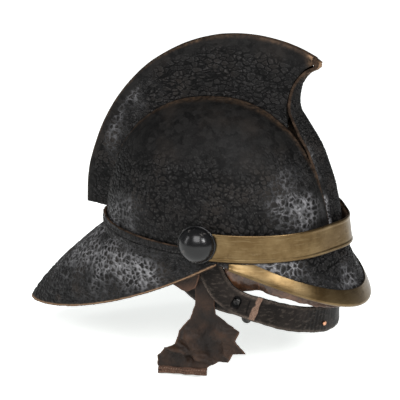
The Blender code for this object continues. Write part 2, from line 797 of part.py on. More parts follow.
def peak_lining(finish):
    """The leather that lines the peak's inside and hangs a little below its rim on both sides."""
    rim = peak_surface(count=29)[:, -1]
    keep = slice(1, -1)
    rim = rim[keep]
    turn = peak_turns(29)[keep]
    inward = unit((np.array([JOINT_X, 0.0, 0.0]) - rim) * np.array([1.0, 1.0, 0.0]))
    share = np.abs(np.linspace(-1, 1, 29))[keep]
    ear = np.clip((share - 0.74) / 0.19, 0, 1)
    ear = ear * ear * (3 - 2 * ear)
    below = LINING_DROP_MIDDLE + LINING_DROP_SIDE * share**1.5 + LINING_DROP_EAR * ear
    foot = rim + (PEAK_LINING_GAP + PEAK_WALL) * inward - below[:, None] * np.array([0, 0, 1.0])
    pull = LINING_PULL * np.clip(share * 3 - 1.4, 0, 1)
    foot = foot + pull[:, None] * inward
    head = np.stack([brow_ring(t, 0.0, -0.0125) for t in turn])
    v = np.linspace(0, 1, 6)[None, :, None]
    belly = 0.004 * np.sin(np.pi * v)
    grid = (1 - v) * head[:, None] + v * foot[:, None] - belly * inward[:, None]
    return plate("peak_lining", grid, grid + PEAK_LINING_WALL * inward[:, None], finish)


def outline_plate(name, outline, y, wall, finish):
    """A flat closed solid: an outline of x and z points, with a wall centred on y."""
    count = len(outline)
    points = [(x, y - wall / 2, z) for x, z in outline] + [(x, y + wall / 2, z) for x, z in outline]
    faces = [tuple(range(count)), tuple(reversed(range(count, 2 * count)))]
    faces += [(i, (i + 1) % count, count + (i + 1) % count, count + i) for i in range(count)]
    return add_mesh(name, points, faces, finish, smooth=False)


def torn_y():
    """Distance from the middle plane to the torn flap's centre, just inside the long strap's."""
    return long_strap_y() - TORN_SETBACK


def torn_lining(finish):
    """The torn flap's true outline, from its neck inside the shell down to its ragged foot."""
    outline = [
        (-0.008, -0.006), (-0.009, -0.030), (-0.009, -0.049), (-0.015, -0.065), (-0.026, -0.079),
        (-0.030, -0.093), (-0.040, -0.097), (-0.050, -0.111), (-0.048, -0.1185), (0.002, -0.1150),
        (0.013, -0.107), (0.026, -0.105), (0.030, -0.094), (0.042, -0.0955), (0.032, -0.083),
        (0.036, -0.073), (0.024, -0.066), (0.011, -0.058), (0.009, -0.040), (0.008, -0.006),
    ]
    return outline_plate("torn_lining", outline, RIGHT * torn_y(), TORN_WALL, finish)


def torn_lining_hem(finish):
    """The folded and double-stitched hem at the flap's foot."""
    top = [(-0.0475, -0.1190), (-0.022, -0.1175), (0.002, -0.1156)]
    outline = top + [(x, z - HEM_HEIGHT) for x, z in reversed(top)]
    return outline_plate("torn_lining_hem", outline, RIGHT * torn_y(), HEM_WALL, finish)


def guard_lining(finish):
    """A torn remnant of suede under the neck guard's right side."""
    outline = [
        (-0.034, -0.008), (-0.036, -0.020), (-0.027, -0.030), (-0.016, -0.034), (-0.006, -0.030),
        (-0.003, -0.018), (-0.004, -0.004),
    ]
    y = RIGHT * (SHORT_STRAP_Y + STRAP_WALL / 2 + 2 * GAP + GUARD_LINING_WALL / 2)
    return outline_plate("guard_lining", outline, y, GUARD_LINING_WALL, finish)


# Chin strap


def ribbon(name, path, normal, width, wall, finish):
    """A flat strap along a path. normal gives each station's face direction."""
    tangent = unit(np.gradient(path, axis=0))
    normal = unit(normal - np.sum(normal * tangent, axis=1, keepdims=True) * tangent)
    across = np.cross(tangent, normal)
    half_width, half_wall = np.broadcast_to(width, len(path))[:, None] / 2, wall / 2
    corners = ((1, 1), (1, -1), (-1, -1), (-1, 1))
    sections = np.stack(
        [path + a * half_width * across + b * half_wall * normal for a, b in corners], axis=1
    )
    return swept(name, sections, finish)


def short_strap(label, side, finish):
    """From the boss's bolt, inside the shell, down and forward to the stud's slot."""
    line = [
        (BOSS_X, BOSS_Z + 0.011), (BOSS_X, BOSS_Z - 0.004), (0.0015, 0.001), (0.007, -0.010),
        (0.0125, -0.021), (0.0195, -0.031), (0.030, -0.0385), (0.042, -0.043), (0.0555, -0.0455),
    ]
    flat = smooth_curve(line, 22)
    path = np.stack([flat[:, 0], side * SHORT_STRAP_Y + 0 * flat[:, 0], flat[:, 1]], axis=1)
    normal = np.zeros_like(path) + np.array([0.0, side, 0.0])
    obj = ribbon(f"strap_short_{label}", path, normal, STRAP_WIDTH, STRAP_WALL, finish)
    drill_for_bolt(obj, side)
    cut(obj, stud_slot(label, side, finish))
    return obj


def stud_slot(label, side, finish):
    """A slot with round ends, set across the strap."""
    turn = np.linspace(0, 2 * math.pi, 20, endpoint=False)
    spread = (SLOT_LENGTH - SLOT_WIDTH) / 2
    lean = math.radians(62)
    along = SLOT_WIDTH / 2 * np.cos(turn) + spread * np.sign(np.cos(turn))
    across = SLOT_WIDTH / 2 * np.sin(turn)
    x = STUD_X + along * math.cos(lean) - across * math.sin(lean)
    z = STUD_Z + along * math.sin(lean) + across * math.cos(lean)
    near, far = side * (SHORT_STRAP_Y - 0.005), side * (SHORT_STRAP_Y + 0.005)
    sections = np.stack([np.stack([x, y + 0 * x, z], axis=1) for y in (near, far)])
    cutter = swept(f"cut_slot_{label}", sections, finish)
    hide_cutter(cutter)
    return cutter


def long_strap_y():
    """Distance from the middle plane to the long strap's centre where a short strap lies over it."""
    return SHORT_STRAP_Y - STRAP_WALL - GAP


def long_strap_path(count=54):
    near = long_strap_y()
    band = headband_inside()
    points = [
        (-0.044, -band + 0.0175, -0.0185), (-0.030, -band + 0.0130, -0.0270),
        (-0.012, -band + TAIL_INSET, -0.0370), (0.006, -band + 0.0028, -0.0415),
        (0.022, -near + 0.0015, -0.0415), (0.0335, -near, -0.0425), (0.046, -near, -0.0455),
        (0.061, -near * 0.965, -0.0495), (0.075, -near * 0.885, -0.0545), (0.088, -near * 0.745, -0.0600),
        (0.101, -near * 0.500, -0.0665), (0.109, -near * 0.245, -0.0715), (0.112, 0.0, -0.0730),
    ]
    mirrored = [(x, -y, z) for x, y, z in reversed(points[5:-1])]
    points += mirrored + [(0.024, near - 0.0005, -0.0415)]
    return smooth_curve(points, count)


def strap_long(finish):
    path = long_strap_path()
    tangent = unit(np.gradient(path, axis=0))
    normal = np.cross(tangent, np.array([0.0, 0.0, 1.0]))
    obj = ribbon("strap_long", path, normal, STRAP_WIDTH, STRAP_WALL, finish)
    for label, side in SIDES:
        near, far = (long_strap_y() + d for d in (-STUD_REACH, STUD_REACH))
        radius = STUD_SHANK + HOLE_CLEARANCE
        drill(obj, (STUD_X, STUD_Z), radius, near, far, side, f"cut_stud_{label}")
    return obj


def strap_stud(label, side, finish):
    """A two-headed stud: its outer head lies in the short strap's slot, its inner one inside the long."""
    inner = long_strap_y() - STRAP_WALL / 2 - 3 * GAP
    outer = long_strap_y() + STRAP_WALL / 2 + GAP
    head = STUD_RADIUS
    profile = [
        (0, outer + STUD_HEAD + 0.0014), (head * 0.6, outer + STUD_HEAD + 0.0008),
        (head, outer + 0.0009), (head, outer), (STUD_SHANK, outer), (STUD_SHANK, inner),
        (head + 0.0012, inner), (head + 0.0012, inner - STUD_HEAD), (0, inner - STUD_HEAD),
    ]
    return turned(f"strap_stud_{label}", profile, (STUD_X, STUD_Z), side, finish, steps=18)


def inner_knob(name, centre, face, radius, depth, finish):
    """A round knob on the inner face of the right side's strap, facing the middle plane."""
    turn = np.linspace(0, math.pi / 2, 6)
    dome = [(radius * math.cos(t), face - 0.0012 - (depth - 0.0012) * math.sin(t)) for t in turn]
    dome[-1] = (0, face - depth)
    profile = [(0, face), (radius, face), *dome]
    return turned(name, profile, centre, RIGHT, finish, steps=18)


def strap_rivet(finish):
    """A flat-headed copper rivet on the long strap's outer face, near its front bend."""
    path = long_strap_path(400)
    near = path[path[:, 1] < -0.012]
    i = np.argmin(np.abs(near[:, 0] - RIVET_X))
    tangent = Vector(unit(near[i + 1] - near[i - 1]))
    normal = tangent.cross(Vector((0, 0, 1))).normalized()
    across = tangent.cross(normal).normalized()
    centre = Vector(near[i]) + across * RIVET_DROP
    start = STRAP_WALL / 2 + GAP
    end = start + RIVET_HEAD
    turn = np.linspace(0, 2 * math.pi, 14, endpoint=False)
    sections = []
    for radius, out in ((RIVET_RADIUS, start), (RIVET_RADIUS * 0.8, end)):
        sections.append([
            centre + normal * out + tangent * (radius * math.cos(t)) + across * (radius * math.sin(t))
            for t in turn
        ])
    return swept("strap_rivet", np.array([[tuple(p) for p in s] for s in sections]), finish)


def hang_on_bolts(pieces):
    """The chin strap's pieces on one parent, whose origin is on the line through both bosses' bolts."""
    hinge = bpy.data.objects.new("chin_strap_hinge", None)
    hinge.location = (BOSS_X, 0.0, BOSS_Z)
    bpy.context.scene.collection.objects.link(hinge)
    for obj in pieces:
        obj.parent = hinge
        obj.matrix_parent_inverse = Matrix.Translation(hinge.location).inverted()


def main():
    clear_scene()
    black = material("black_crackled_leather", (0.035, 0.034, 0.036), 0.45)
    brass = material("aged_brass", (0.56, 0.43, 0.23), 0.35, 1.0)
    lacquer = material("black_lacquer", (0.02, 0.02, 0.021), 0.18)
    iron = material("dark_iron", (0.16, 0.15, 0.14), 0.5, 1.0)
    strap = material("grey_brown_strap", (0.10, 0.085, 0.075), 0.6)
    brown = material("brown_lining_leather", (0.13, 0.075, 0.045), 0.6)
    suede = material("torn_brown_suede", (0.20, 0.12, 0.075), 0.85)
    lace = material("waxed_lace", (0.24, 0.19, 0.13), 0.8)
    copper = material("copper", (0.55, 0.30, 0.18), 0.4, 1.0)

    hanging = []
    for label, side in SIDES:
        crown_half(label, side, black)
        comb_leaf(label, side, black)
        boss(label, side, lacquer, brass, iron)
        hanging += [short_strap(label, side, strap), strap_stud(label, side, iron)]
    comb_welt(black)
    comb_front_facing(black)
    neck_guard(black)
    front_peak(black)
    front_band(brass)
    peak_binding(brass)
    headband(brown)
    headband_piping(brown)
    for index in range(TONGUES):
        liner_tongue(index, brown)
    liner_lace(lace)
    peak_lining(brown)
    torn_lining(suede)
    torn_lining_hem(suede)
    guard_lining(suede)

    tail_y = headband_inside() - TAIL_INSET - STRAP_WALL / 2 - TAIL_STUD_SPACE
    knob_face = long_strap_y() - STRAP_WALL / 2 - 2 * GAP
    tail_place, knob_place = (TAIL_STUD_X, TAIL_STUD_Z), (KNOB_X, KNOB_Z)
    hanging += [
        strap_long(strap),
        inner_knob("strap_stud_tail", tail_place, tail_y, TAIL_STUD_RADIUS, TAIL_STUD_DEPTH, iron),
        inner_knob("strap_knob", knob_place, knob_face, KNOB_RADIUS, KNOB_DEPTH, iron),
        strap_rivet(copper),
    ]
    hang_on_bolts(hanging)


main()
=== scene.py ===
"""Leather fire helmet with a tall comb: the visual model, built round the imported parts.

Front is +X, up is +Z and the wearer's right is -Y; lengths are in metres. Every shape is a grid of
points worked out from formulas, and every finish is a network of nodes.
"""

import itertools
import math

import bpy
import numpy as np
from bpy.props import FloatProperty, FloatVectorProperty, PointerProperty
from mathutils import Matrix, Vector


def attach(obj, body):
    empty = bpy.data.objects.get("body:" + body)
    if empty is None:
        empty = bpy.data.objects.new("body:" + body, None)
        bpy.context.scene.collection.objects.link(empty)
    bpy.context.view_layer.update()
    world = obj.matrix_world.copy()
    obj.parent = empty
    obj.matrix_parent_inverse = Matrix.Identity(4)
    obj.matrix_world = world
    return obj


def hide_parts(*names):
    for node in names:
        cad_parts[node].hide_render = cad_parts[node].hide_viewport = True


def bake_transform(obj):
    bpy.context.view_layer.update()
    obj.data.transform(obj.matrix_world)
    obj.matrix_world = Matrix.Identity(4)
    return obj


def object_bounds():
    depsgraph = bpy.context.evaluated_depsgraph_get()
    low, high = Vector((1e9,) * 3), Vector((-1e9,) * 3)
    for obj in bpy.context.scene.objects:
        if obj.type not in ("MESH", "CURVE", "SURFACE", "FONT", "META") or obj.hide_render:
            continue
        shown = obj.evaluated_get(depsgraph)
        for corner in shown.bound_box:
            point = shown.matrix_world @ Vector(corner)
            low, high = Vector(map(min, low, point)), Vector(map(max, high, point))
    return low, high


bl_info = {
    "name": "Comb fire helmet",
    "version": (1, 0, 0),
    "blender": (4, 5, 0),
    "location": "View3D > Sidebar > Helmet",
    "description": "Builds a leather fire helmet round its packed parts",
    "category": "Add Mesh",
}

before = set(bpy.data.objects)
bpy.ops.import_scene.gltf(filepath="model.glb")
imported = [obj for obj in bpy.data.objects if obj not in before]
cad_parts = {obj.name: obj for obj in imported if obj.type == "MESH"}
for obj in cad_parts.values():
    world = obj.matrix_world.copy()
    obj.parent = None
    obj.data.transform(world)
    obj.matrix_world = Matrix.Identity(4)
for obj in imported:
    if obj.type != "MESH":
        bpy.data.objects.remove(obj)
CAD_LOW, CAD_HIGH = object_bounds()

# Crown
CROWN_FRONT = 0.102
CROWN_REAR = 0.131
CROWN_HALF_WIDTH = 0.092
CROWN_HEIGHT = 0.145
CROWN_POWER = 2.2
CROWN_MIDDLE_X = 0.008
CROWN_LEAN = 0.010
CROWN_FOOT = 0.002
CROWN_WALL = 0.0035
CORNER_RISE = 0.003
GAP = 0.0004

# Comb
COMB_CENTRE_X = 0.0145
COMB_CENTRE_Z = 0.0205
COMB_HALF_LENGTH = 0.1645
COMB_RISE = 0.1812
COMB_TIP_X = 0.0875
COMB_WALL = 0.003
COMB_CREST_HALF = 0.0045
COMB_FOOT_HALF = 0.0169
COMB_FLARE = 1.25
COMB_TUCK = 0.006
FACING_WALL = 0.003
FACING_BULGE = 0.010
BEAK_BULGE = 0.0015
FACING_SEAM_SHARE = 0.42

# Brims
GUARD_WALL = 0.0026
GUARD_TIP_X = -0.214
GUARD_DROP = 0.0886
GUARD_HALF_WIDTH = 0.0985
GUARD_POWER = 1.75
FLANGE_TOP_REAR = 0.0188
FLANGE_TOP_SIDE = 0.0115
JOINT_X = 0.0175
JOINT_GAP = 0.0016
BRIM_KNEE = 0.0022
PEAK_WALL = 0.0025
PEAK_LINING_GAP = 0.0075
LINING_DROP_MIDDLE = 0.0015
LINING_DROP_SIDE = 0.0195
LINING_DROP_EAR = 0.0085
LINING_PULL = 0.0105
PEAK_TIP_X = 0.1433
PEAK_DROP = 0.053
PEAK_HALF_WIDTH = 0.098
PEAK_TOP = 0.0262
BROW_NOSE = 0.0073
BROW_NOSE_POWER = 40
BROW_LEAN = 0.14
BROW_REACH = 0.1173

# Brass
BAND_BOTTOM = 0.0027
BAND_TOP = 0.0295
BAND_WALL = 0.0010
BINDING_WALL = 0.0009
BINDING_LEG = 0.0160
BINDING_INNER_LEG = 0.0080

# Bosses and straps
BOSS_X = -0.002
BOSS_Z = 0.0185
BOSS_RADIUS = 0.0176
BOSS_HEIGHT = 0.0145
PLATE_RADIUS = 0.0190
PLATE_WALL = 0.0016
BOSS_FACE = 0.0972
STRAP_WIDTH = 0.0245
STRAP_WALL = 0.0026
SHORT_STRAP_Y = 0.0843
LONG_STRAP_Y = SHORT_STRAP_Y - STRAP_WALL - GAP
STUD_X = 0.0335
STUD_Z = -0.0405

# Lining
HEADBAND_INSET = 0.0157
HEADBAND_WALL = 0.0020
HEADBAND_BOTTOM = -0.002
HEADBAND_TOP = 0.030
TONGUES = 6
TONGUE_WALL = 0.0018
TONGUE_TOP = 0.772 * CROWN_HEIGHT
TORN_Y = LONG_STRAP_Y - 0.0021

# Stage
FLOOR_SIZE = 12
FLOOR_BELOW_PART = 0.0015
FLOOR_LEVEL = -0.1275
FLOOR_GLOW = 0.70
WORLD_GLOW = 0.22
LAMPS = (
    # name, place, width and length, power
    ("overhead", (0.4, -2.4, 2.2), (2.0, 2.0), 115.0),
    ("right", (1.50, -1.00, 1.10), (0.5, 0.5), 24.0),
    ("left", (-1.50, -1.10, 0.75), (0.35, 1.2), 9.0),
)
LAMP_AIM = (0, 0, 0.02)
CAMERA_TURN = math.radians(18.0)
CAMERA_RISE = math.radians(17.5)
CAMERA_DISTANCE = 1.7
CAMERA_RIGHT = -0.029
CAMERA_UP = 0.032
CAMERA_LENS = 153.0

RIGHT, LEFT = -1, 1
SIDES = (("right", RIGHT), ("left", LEFT))
UP = np.array([0.0, 0.0, 1.0])
FLAT = np.array([1.0, 1.0, 0.0])
LATTICE = np.array([[127.1, 311.7, 74.7], [269.5, 183.3, 246.1], [113.5, 271.9, 124.6]])


# Arithmetic on arrays of points


def unit(vectors):
    return vectors / np.maximum(np.linalg.norm(vectors, axis=-1, keepdims=True), 1e-12)


def signed_power(value, power):
    return np.sign(value) * np.abs(value) ** power


def ramp(value, low, high):
    """0 below low, 1 above high and 3t^2 - 2t^3 between."""
    t = np.clip((value - low) / (high - low), 0, 1)
    return t * t * (3 - 2 * t)


def scatter(cells, seed):
    """Three numbers from 0 to 1 for each whole-numbered cell: the fractions of a large sine."""
    return np.modf(np.abs(np.sin(cells @ LATTICE.T + seed * 17.31) * 43758.5453))[0]


def noise(points, size, seed=0):
    """Smooth noise from -1 to 1, blended between the corners of cells of that size."""
    place = points / size
    base = np.floor(place)
    t = place - base
    t = t * t * (3 - 2 * t)
    total = 0.0
    for corner in itertools.product((0, 1), repeat=3):
        share = np.prod(np.where(corner, t, 1 - t), axis=-1)
        total = total + share * scatter(base + corner, seed)[..., 0]
    return 2 * total - 1


def fractal(points, size, octaves=3, seed=0):
    """Noise plus half as much of it at half the size, and so on."""
    return sum(noise(points, size / 2**i, seed + i) / 2**i for i in range(octaves))


def plates(points, size, seed=0, warp=0.30):
    """Paint plates: each point's distance to the second nearest of jittered lattice points less
    its distance to the nearest, so that it is 0 along the cracks. Returns it in cells, with a
    random number for each plate."""
    push = np.stack([noise(points, size * 1.1, seed + k) for k in (5, 6, 7)], axis=-1)
    jag = np.stack([noise(points, size * 0.35, seed + k) for k in (15, 16, 17)], axis=-1)
    place = points / size + warp * push + 0.35 * warp * jag
    base = np.floor(place)
    first = np.full(points.shape[:-1], 9.0)
    second, mark = first.copy(), first.copy()
    for offset in itertools.product((-1, 0, 1), repeat=3):
        cell = base + offset
        chance = scatter(cell, seed)
        distance = np.linalg.norm(cell + 0.05 + 0.9 * chance - place, axis=-1)
        closer = distance < first
        second = np.where(closer, first, np.minimum(second, distance))
        mark = np.where(closer, chance[..., 0], mark)
        first = np.where(closer, distance, first)
    return second - first, mark


def blob(points, centre, reach):
    """1 at a centre and falling off as a bell over reach, the same on both sides of the helmet."""
    mirrored = points * np.array([1, 0, 1]) + np.abs(points) * np.array([0, 1, 0])
    return np.exp(-np.sum(((mirrored - np.array(centre)) / np.array(reach)) ** 2, axis=-1))


def grid_normals(grid):
    """Unit normals of a grid, by the cross product of its two directions."""
    return unit(np.cross(np.gradient(grid, axis=0), np.gradient(grid, axis=1)))


def outward_normals(grid, centre):
    """A grid's normals, turned to face away from a centre."""
    normal = grid_normals(grid)
    facing = np.sum(normal * (grid - np.asarray(centre)), axis=-1).mean()
    return normal * np.sign(facing)


def even_steps(dense, count, start=0.0, end=1.0):
    """Points at equal steps of length along a polyline, from share start to share end of it."""
    along = np.concatenate([[0], np.cumsum(np.linalg.norm(np.diff(dense, axis=0), axis=1))])
    at = np.linspace(start, end, count) * along[-1]
    return np.stack([np.interp(at, along, dense[:, i]) for i in range(dense.shape[1])], axis=1)


def smooth_curve(points, count):
    """A Catmull-Rom curve through the points, read at equal steps of its length."""
    points = np.asarray(points, float)
    ends = np.vstack([2 * points[0] - points[1], points, 2 * points[-1] - points[-2]])
    t = np.linspace(0, 1, 24, endpoint=False)[:, None]
    spans = []
    for a, b, c, d in zip(ends[:-3], ends[1:-2], ends[2:-1], ends[3:]):
        square, cube = 2 * a - 5 * b + 4 * c - d, 3 * b - a - 3 * c + d
        spans.append((2 * b + (c - a) * t + square * t**2 + cube * t**3) / 2)
    return even_steps(np.vstack([*spans, points[-1:]]), count)


# Meshes


def edge_round(start, end, outward, count=4):
    """Points on a half ellipse from one face's edge round to the other's."""
    centre, half = (start + end) / 2, (start - end) / 2
    reach = np.linalg.norm(half, axis=-1, keepdims=True) * 0.8
    turn = np.linspace(0, math.pi, count + 2)[1:-1]
    return np.stack(
        [centre + half * math.cos(t) + outward * reach * math.sin(t) for t in turn], axis=1
    )


def wall_sections(outer, inner):
    """Closed sections of a wall: its outer face, a rounded edge, its inner face back, and the other
    edge. Returns them and a mask that is 1 on the outer face."""
    far = edge_round(outer[:, -1], inner[:, -1], unit(outer[:, -1] - outer[:, -3]))
    near = edge_round(inner[:, 0], outer[:, 0], unit(outer[:, 0] - outer[:, 2]))
    sections = np.concatenate([outer, far, inner[:, ::-1], near], axis=1)
    mask = np.zeros(sections.shape[:2])
    mask[:, : outer.shape[1]] = 1
    return sections, mask


def put_mesh(name, points, quads, polygons=()):
    """A smooth mesh object from arrays, turned inside out if its volume comes out negative."""
    points = np.asarray(points, float).reshape(-1, 3)
    quads = np.asarray(quads, np.int64).reshape(-1, 4)
    a, b, c, d = (points[quads[:, k]] for k in range(4))
    volume = np.sum(a * np.cross(b, c)) + np.sum(a * np.cross(c, d))
    if volume < 0:
        quads = quads[:, ::-1]
        polygons = [tuple(reversed(p)) for p in polygons]
    loops = np.concatenate([quads.ravel(), *[np.array(p, np.int64) for p in polygons]])
    sizes = np.concatenate([np.full(len(quads), 4), [len(p) for p in polygons]]).astype(np.int64)
    mesh = bpy.data.meshes.new(name)
    mesh.vertices.add(len(points))
    mesh.vertices.foreach_set("co", points.astype(np.float32).ravel())
    mesh.loops.add(len(loops))
    mesh.loops.foreach_set("vertex_index", loops.astype(np.int32))
    mesh.polygons.add(len(sizes))
    starts = np.concatenate([[0], np.cumsum(sizes)[:-1]])
    mesh.polygons.foreach_set("loop_start", starts.astype(np.int32))
    mesh.update(calc_edges=True)
    mesh.validate()
    mesh.shade_smooth()
    obj = bpy.data.objects.new(name, mesh)
    bpy.context.scene.collection.objects.link(obj)
    return obj


def sweep(name, sections, ring=False, marks=None):
    """A closed surface from closed sections along a path, its ends capped unless it is a ring."""
    stations, around = sections.shape[:2]
    i, j = np.meshgrid(
        np.arange(stations if ring else stations - 1), np.arange(around), indexing="ij"
    )
    k, m = (i + 1) % stations, (j + 1) % around
    quads = np.stack([i * around + j, i * around + m, k * around + m, k * around + j], axis=-1)
    caps = []
    if not ring:
        caps = [
            tuple(range(around))[::-1], tuple(range((stations - 1) * around, stations * around))
        ]
    obj = put_mesh(name, sections, quads, caps)
    for mark, values in (marks or {}).items():
        attribute = obj.data.attributes.new(mark, "FLOAT", "POINT")
        attribute.data.foreach_set("value", np.asarray(values, np.float32).ravel())
    return obj


def turned(name, profile, centre, side, steps=72, wobble=0.0):
    """A profile of (radius, distance from the middle plane) turned about a crosswise axis. It
    starts and ends at radius 0, and its two poles close it."""
    turn = np.linspace(0, 2 * math.pi, steps, endpoint=False)
    profile = np.asarray(profile, float)
    inner = profile[1:-1]
    grid = np.stack(
        [
            centre[0] + inner[None, :, 0] * np.cos(turn)[:, None],
            np.broadcast_to(side * inner[None, :, 1], (steps, len(inner))),
            centre[1] + inner[None, :, 0] * np.sin(turn)[:, None],
        ],
        axis=-1,
    )
    if wobble:
        grid = grid + wobble * noise(grid, 0.009, 3)[..., None] * np.array([1, 0.4, 1])
    poles = [(centre[0], side * p[1], centre[1]) for p in (profile[0], profile[-1])]
    count = len(inner)
    points = np.concatenate([grid.reshape(-1, 3), np.array(poles)])
    i, j = np.meshgrid(np.arange(steps), np.arange(count - 1), indexing="ij")
    k = (i + 1) % steps
    quads = np.stack([i * count + j, i * count + j + 1, k * count + j + 1, k * count + j], axis=-1)
    start, end = steps * count, steps * count + 1
    this = np.arange(steps)
    following = (this + 1) % steps
    first = np.stack([start + 0 * this, this * count, following * count], axis=-1)
    last = np.stack([end + 0 * this, (following + 1) * count - 1, (this + 1) * count - 1], axis=-1)
    fans = np.stack([first, last], axis=1).reshape(-1, 3)
    return put_mesh(name, points, quads, fans.tolist())


def give_material(obj, material):
    obj.data.materials.clear()
    obj.data.materials.append(material)


def finish_piece(obj, material, body, slot, *nodes):
    """Gives a piece its material and its body, and hides the parts that it stands for; slot is not
    used.
    """
    give_material(obj, material)
    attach(obj, body)
    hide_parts(*nodes)
    return obj


# Node networks


class Signal:
    """A socket that arithmetic is written on: each operator adds one Math node."""

    def __init__(self, finish, socket):
        self.finish, self.socket = finish, socket

    def math(self, operation, first, second=None):
        inputs = {0: first} if second is None else {0: first, 1: second}
        return self.finish.node("ShaderNodeMath", {"operation": operation}, inputs)

    def __add__(self, other):
        return self.math("ADD", self, other)

    def __radd__(self, other):
        return self.math("ADD", other, self)

    def __sub__(self, other):
        return self.math("SUBTRACT", self, other)

    def __rsub__(self, other):
        return self.math("SUBTRACT", other, self)

    def __mul__(self, other):
        return self.math("MULTIPLY", self, other)

    def __rmul__(self, other):
        return self.math("MULTIPLY", other, self)

    def __pow__(self, other):
        return self.math("POWER", self, other)

    def between(self, low, high, start=0.0, end=1.0):
        """start below low, end above high and smooth between."""
        settings = {"interpolation_type": "SMOOTHSTEP"}
        inputs = {"Value": self, "From Min": low, "From Max": high, "To Min": start, "To Max": end}
        return self.finish.node("ShaderNodeMapRange", settings, inputs)


class Finish:
    """A material and the nodes that are added to it."""

    def __init__(self, name):
        self.material = bpy.data.materials.new(name)
        self.material.use_nodes = True
        self.tree = self.material.node_tree
        self.shader = self.tree.nodes["Principled BSDF"]
        self.place = self.node("ShaderNodeTexCoord", {}, {}, "Object")

    def node(self, kind, settings, inputs, output=0):
        """A node of a kind, its settings made first, then its sockets' values or links."""
        made = self.tree.nodes.new(kind)
        for key, value in settings.items():
            setattr(made, key, value)
        for key, value in inputs.items():
            self.feed(made.inputs[key], value)
        return Signal(self, made.outputs[output])

    def feed(self, socket, value):
        if isinstance(value, Signal):
            self.tree.links.new(value.socket, socket)
        elif isinstance(value, tuple) and len(value) == 3 and socket.type == "RGBA":
            socket.default_value = (*value, 1.0)
        else:
            socket.default_value = value

    def mark(self, name):
        return self.node("ShaderNodeAttribute", {"attribute_name": name}, {}, "Fac")

    def stretch(self, scale, rotation=(0.0, 0.0, 0.0)):
        return self.node(
            "ShaderNodeMapping", {}, {"Vector": self.place, "Scale": scale, "Rotation": rotation}
        )

    def noise(self, scale, detail=3.0, roughness=0.55, distortion=0.0, vector=None):
        inputs = {
            "Vector": vector or self.place,
            "Scale": scale,
            "Detail": detail,
            "Roughness": roughness,
            "Distortion": distortion,
        }
        return self.node("ShaderNodeTexNoise", {}, inputs)

    def cells(self, scale, feature="DISTANCE_TO_EDGE", vector=None):
        inputs = {"Vector": vector or self.place, "Scale": scale}
        return self.node("ShaderNodeTexVoronoi", {"feature": feature}, inputs, "Distance")

    def mix(self, share, first, second):
        return self.node(
            "ShaderNodeMix",
            {"data_type": "RGBA"},
            {"Factor": share, "A": first, "B": second},
            "Result",
        )

    def bump(self, height, strength, distance, normal=None):
        inputs = {"Height": height, "Strength": strength, "Distance": distance}
        if normal is not None:
            inputs["Normal"] = normal
        return self.node("ShaderNodeBump", {}, inputs)

    def set(self, **sockets):
        for name, value in sockets.items():
            self.feed(self.shader.inputs[name.replace("_", " ")], value)
        return self.material


# The crown, comb and brims


def crown_taper(z, inset=0.0):
    """Share of the foot's size that the crown has at height z, and the middle of that level."""
    t = np.clip(z / (CROWN_HEIGHT - inset), 0, 1)
    return (1 - t**CROWN_POWER) ** (1 / CROWN_POWER), CROWN_MIDDLE_X - CROWN_LEAN * t


def crown_ring(turn, z, out):
    """Points round the crown at height z, moved out: x runs with cos^(2/p), y with -sin^(2/p)."""
    size, middle = crown_taper(z)
    c, s = (signed_power(f(turn), 2 / CROWN_POWER) for f in (np.cos, np.sin))
    length = np.where(c > 0, CROWN_FRONT, CROWN_REAR) + out
    x, y = middle + length * size * c, -(CROWN_HALF_WIDTH + out) * size * s
    return np.stack([x, y, z + 0 * x], axis=-1)


def upright_ring(turn, z, out):
    ring = crown_ring(turn + 0 * z, 0.0, out)
    ring[..., 2] = z
    return ring


def brow_ring(turn, z, out):
    """As upright_ring, with a nose cos^40 round the comb's foot, and leaning out below in front."""
    ahead = np.clip(np.cos(turn), 0, 1)
    lean = BROW_LEAN * np.clip(BAND_TOP - z, 0, BAND_TOP)
    ring = upright_ring(turn, z, out)
    ring[..., 0] += BROW_NOSE * ahead**BROW_NOSE_POWER + lean * ahead**4
    return ring


def side_angle(x):
    """The turn at which a ring round the crown's foot passes x on the right side."""
    length = CROWN_FRONT if x > CROWN_MIDDLE_X else CROWN_REAR
    return math.acos(float(signed_power((x - CROWN_MIDDLE_X) / length, CROWN_POWER / 2)))


def crown_panel(inset, side, along, up):
    """One half of the superellipsoid |x/a|^p + |y/b|^p + |z/h|^p = 1 with p = 2.2, from the foot's
    level to the comb's side."""
    front, rear = CROWN_FRONT - inset, CROWN_REAR - inset
    b, h, p = CROWN_HALF_WIDTH - inset, CROWN_HEIGHT - inset, CROWN_POWER
    foot, seam = CROWN_FOOT / h, (COMB_FOOT_HALF + GAP) / b
    start = math.asin(math.sqrt(((CROWN_FOOT + CORNER_RISE) / h) ** p + seam**p))
    eta = np.linspace(start, np.pi - start, along)[:, None]
    s = np.sin(eta) ** (2 / p)
    low = np.arcsin((foot / s) ** (p / 2))
    high = np.arccos((seam / s) ** (p / 2))
    beta = low + (high - low) * np.linspace(0, 1, up)[None]
    t = s * np.sin(beta) ** (2 / p)
    c = signed_power(np.cos(eta), 2 / p)
    x = CROWN_MIDDLE_X - CROWN_LEAN * t + np.where(c > 0, front, rear) * c
    return np.stack([x, side * b * s * np.cos(beta) ** (2 / p), h * t], axis=-1)


def heel_height():
    return FLANGE_TOP_REAR + 2 * GAP


def crest(count, inset=0.0, end=COMB_TIP_X):
    """The comb's top outline from heel to beak, an ellipse, as x and z."""
    a, b = COMB_HALF_LENGTH - inset, COMB_RISE - inset
    heel = math.pi - math.asin((heel_height() - COMB_CENTRE_Z) / b)
    turn = np.linspace(heel, math.acos((end - COMB_CENTRE_X) / a), count)
    return np.stack([COMB_CENTRE_X + a * np.cos(turn), COMB_CENTRE_Z + b * np.sin(turn)], axis=1)


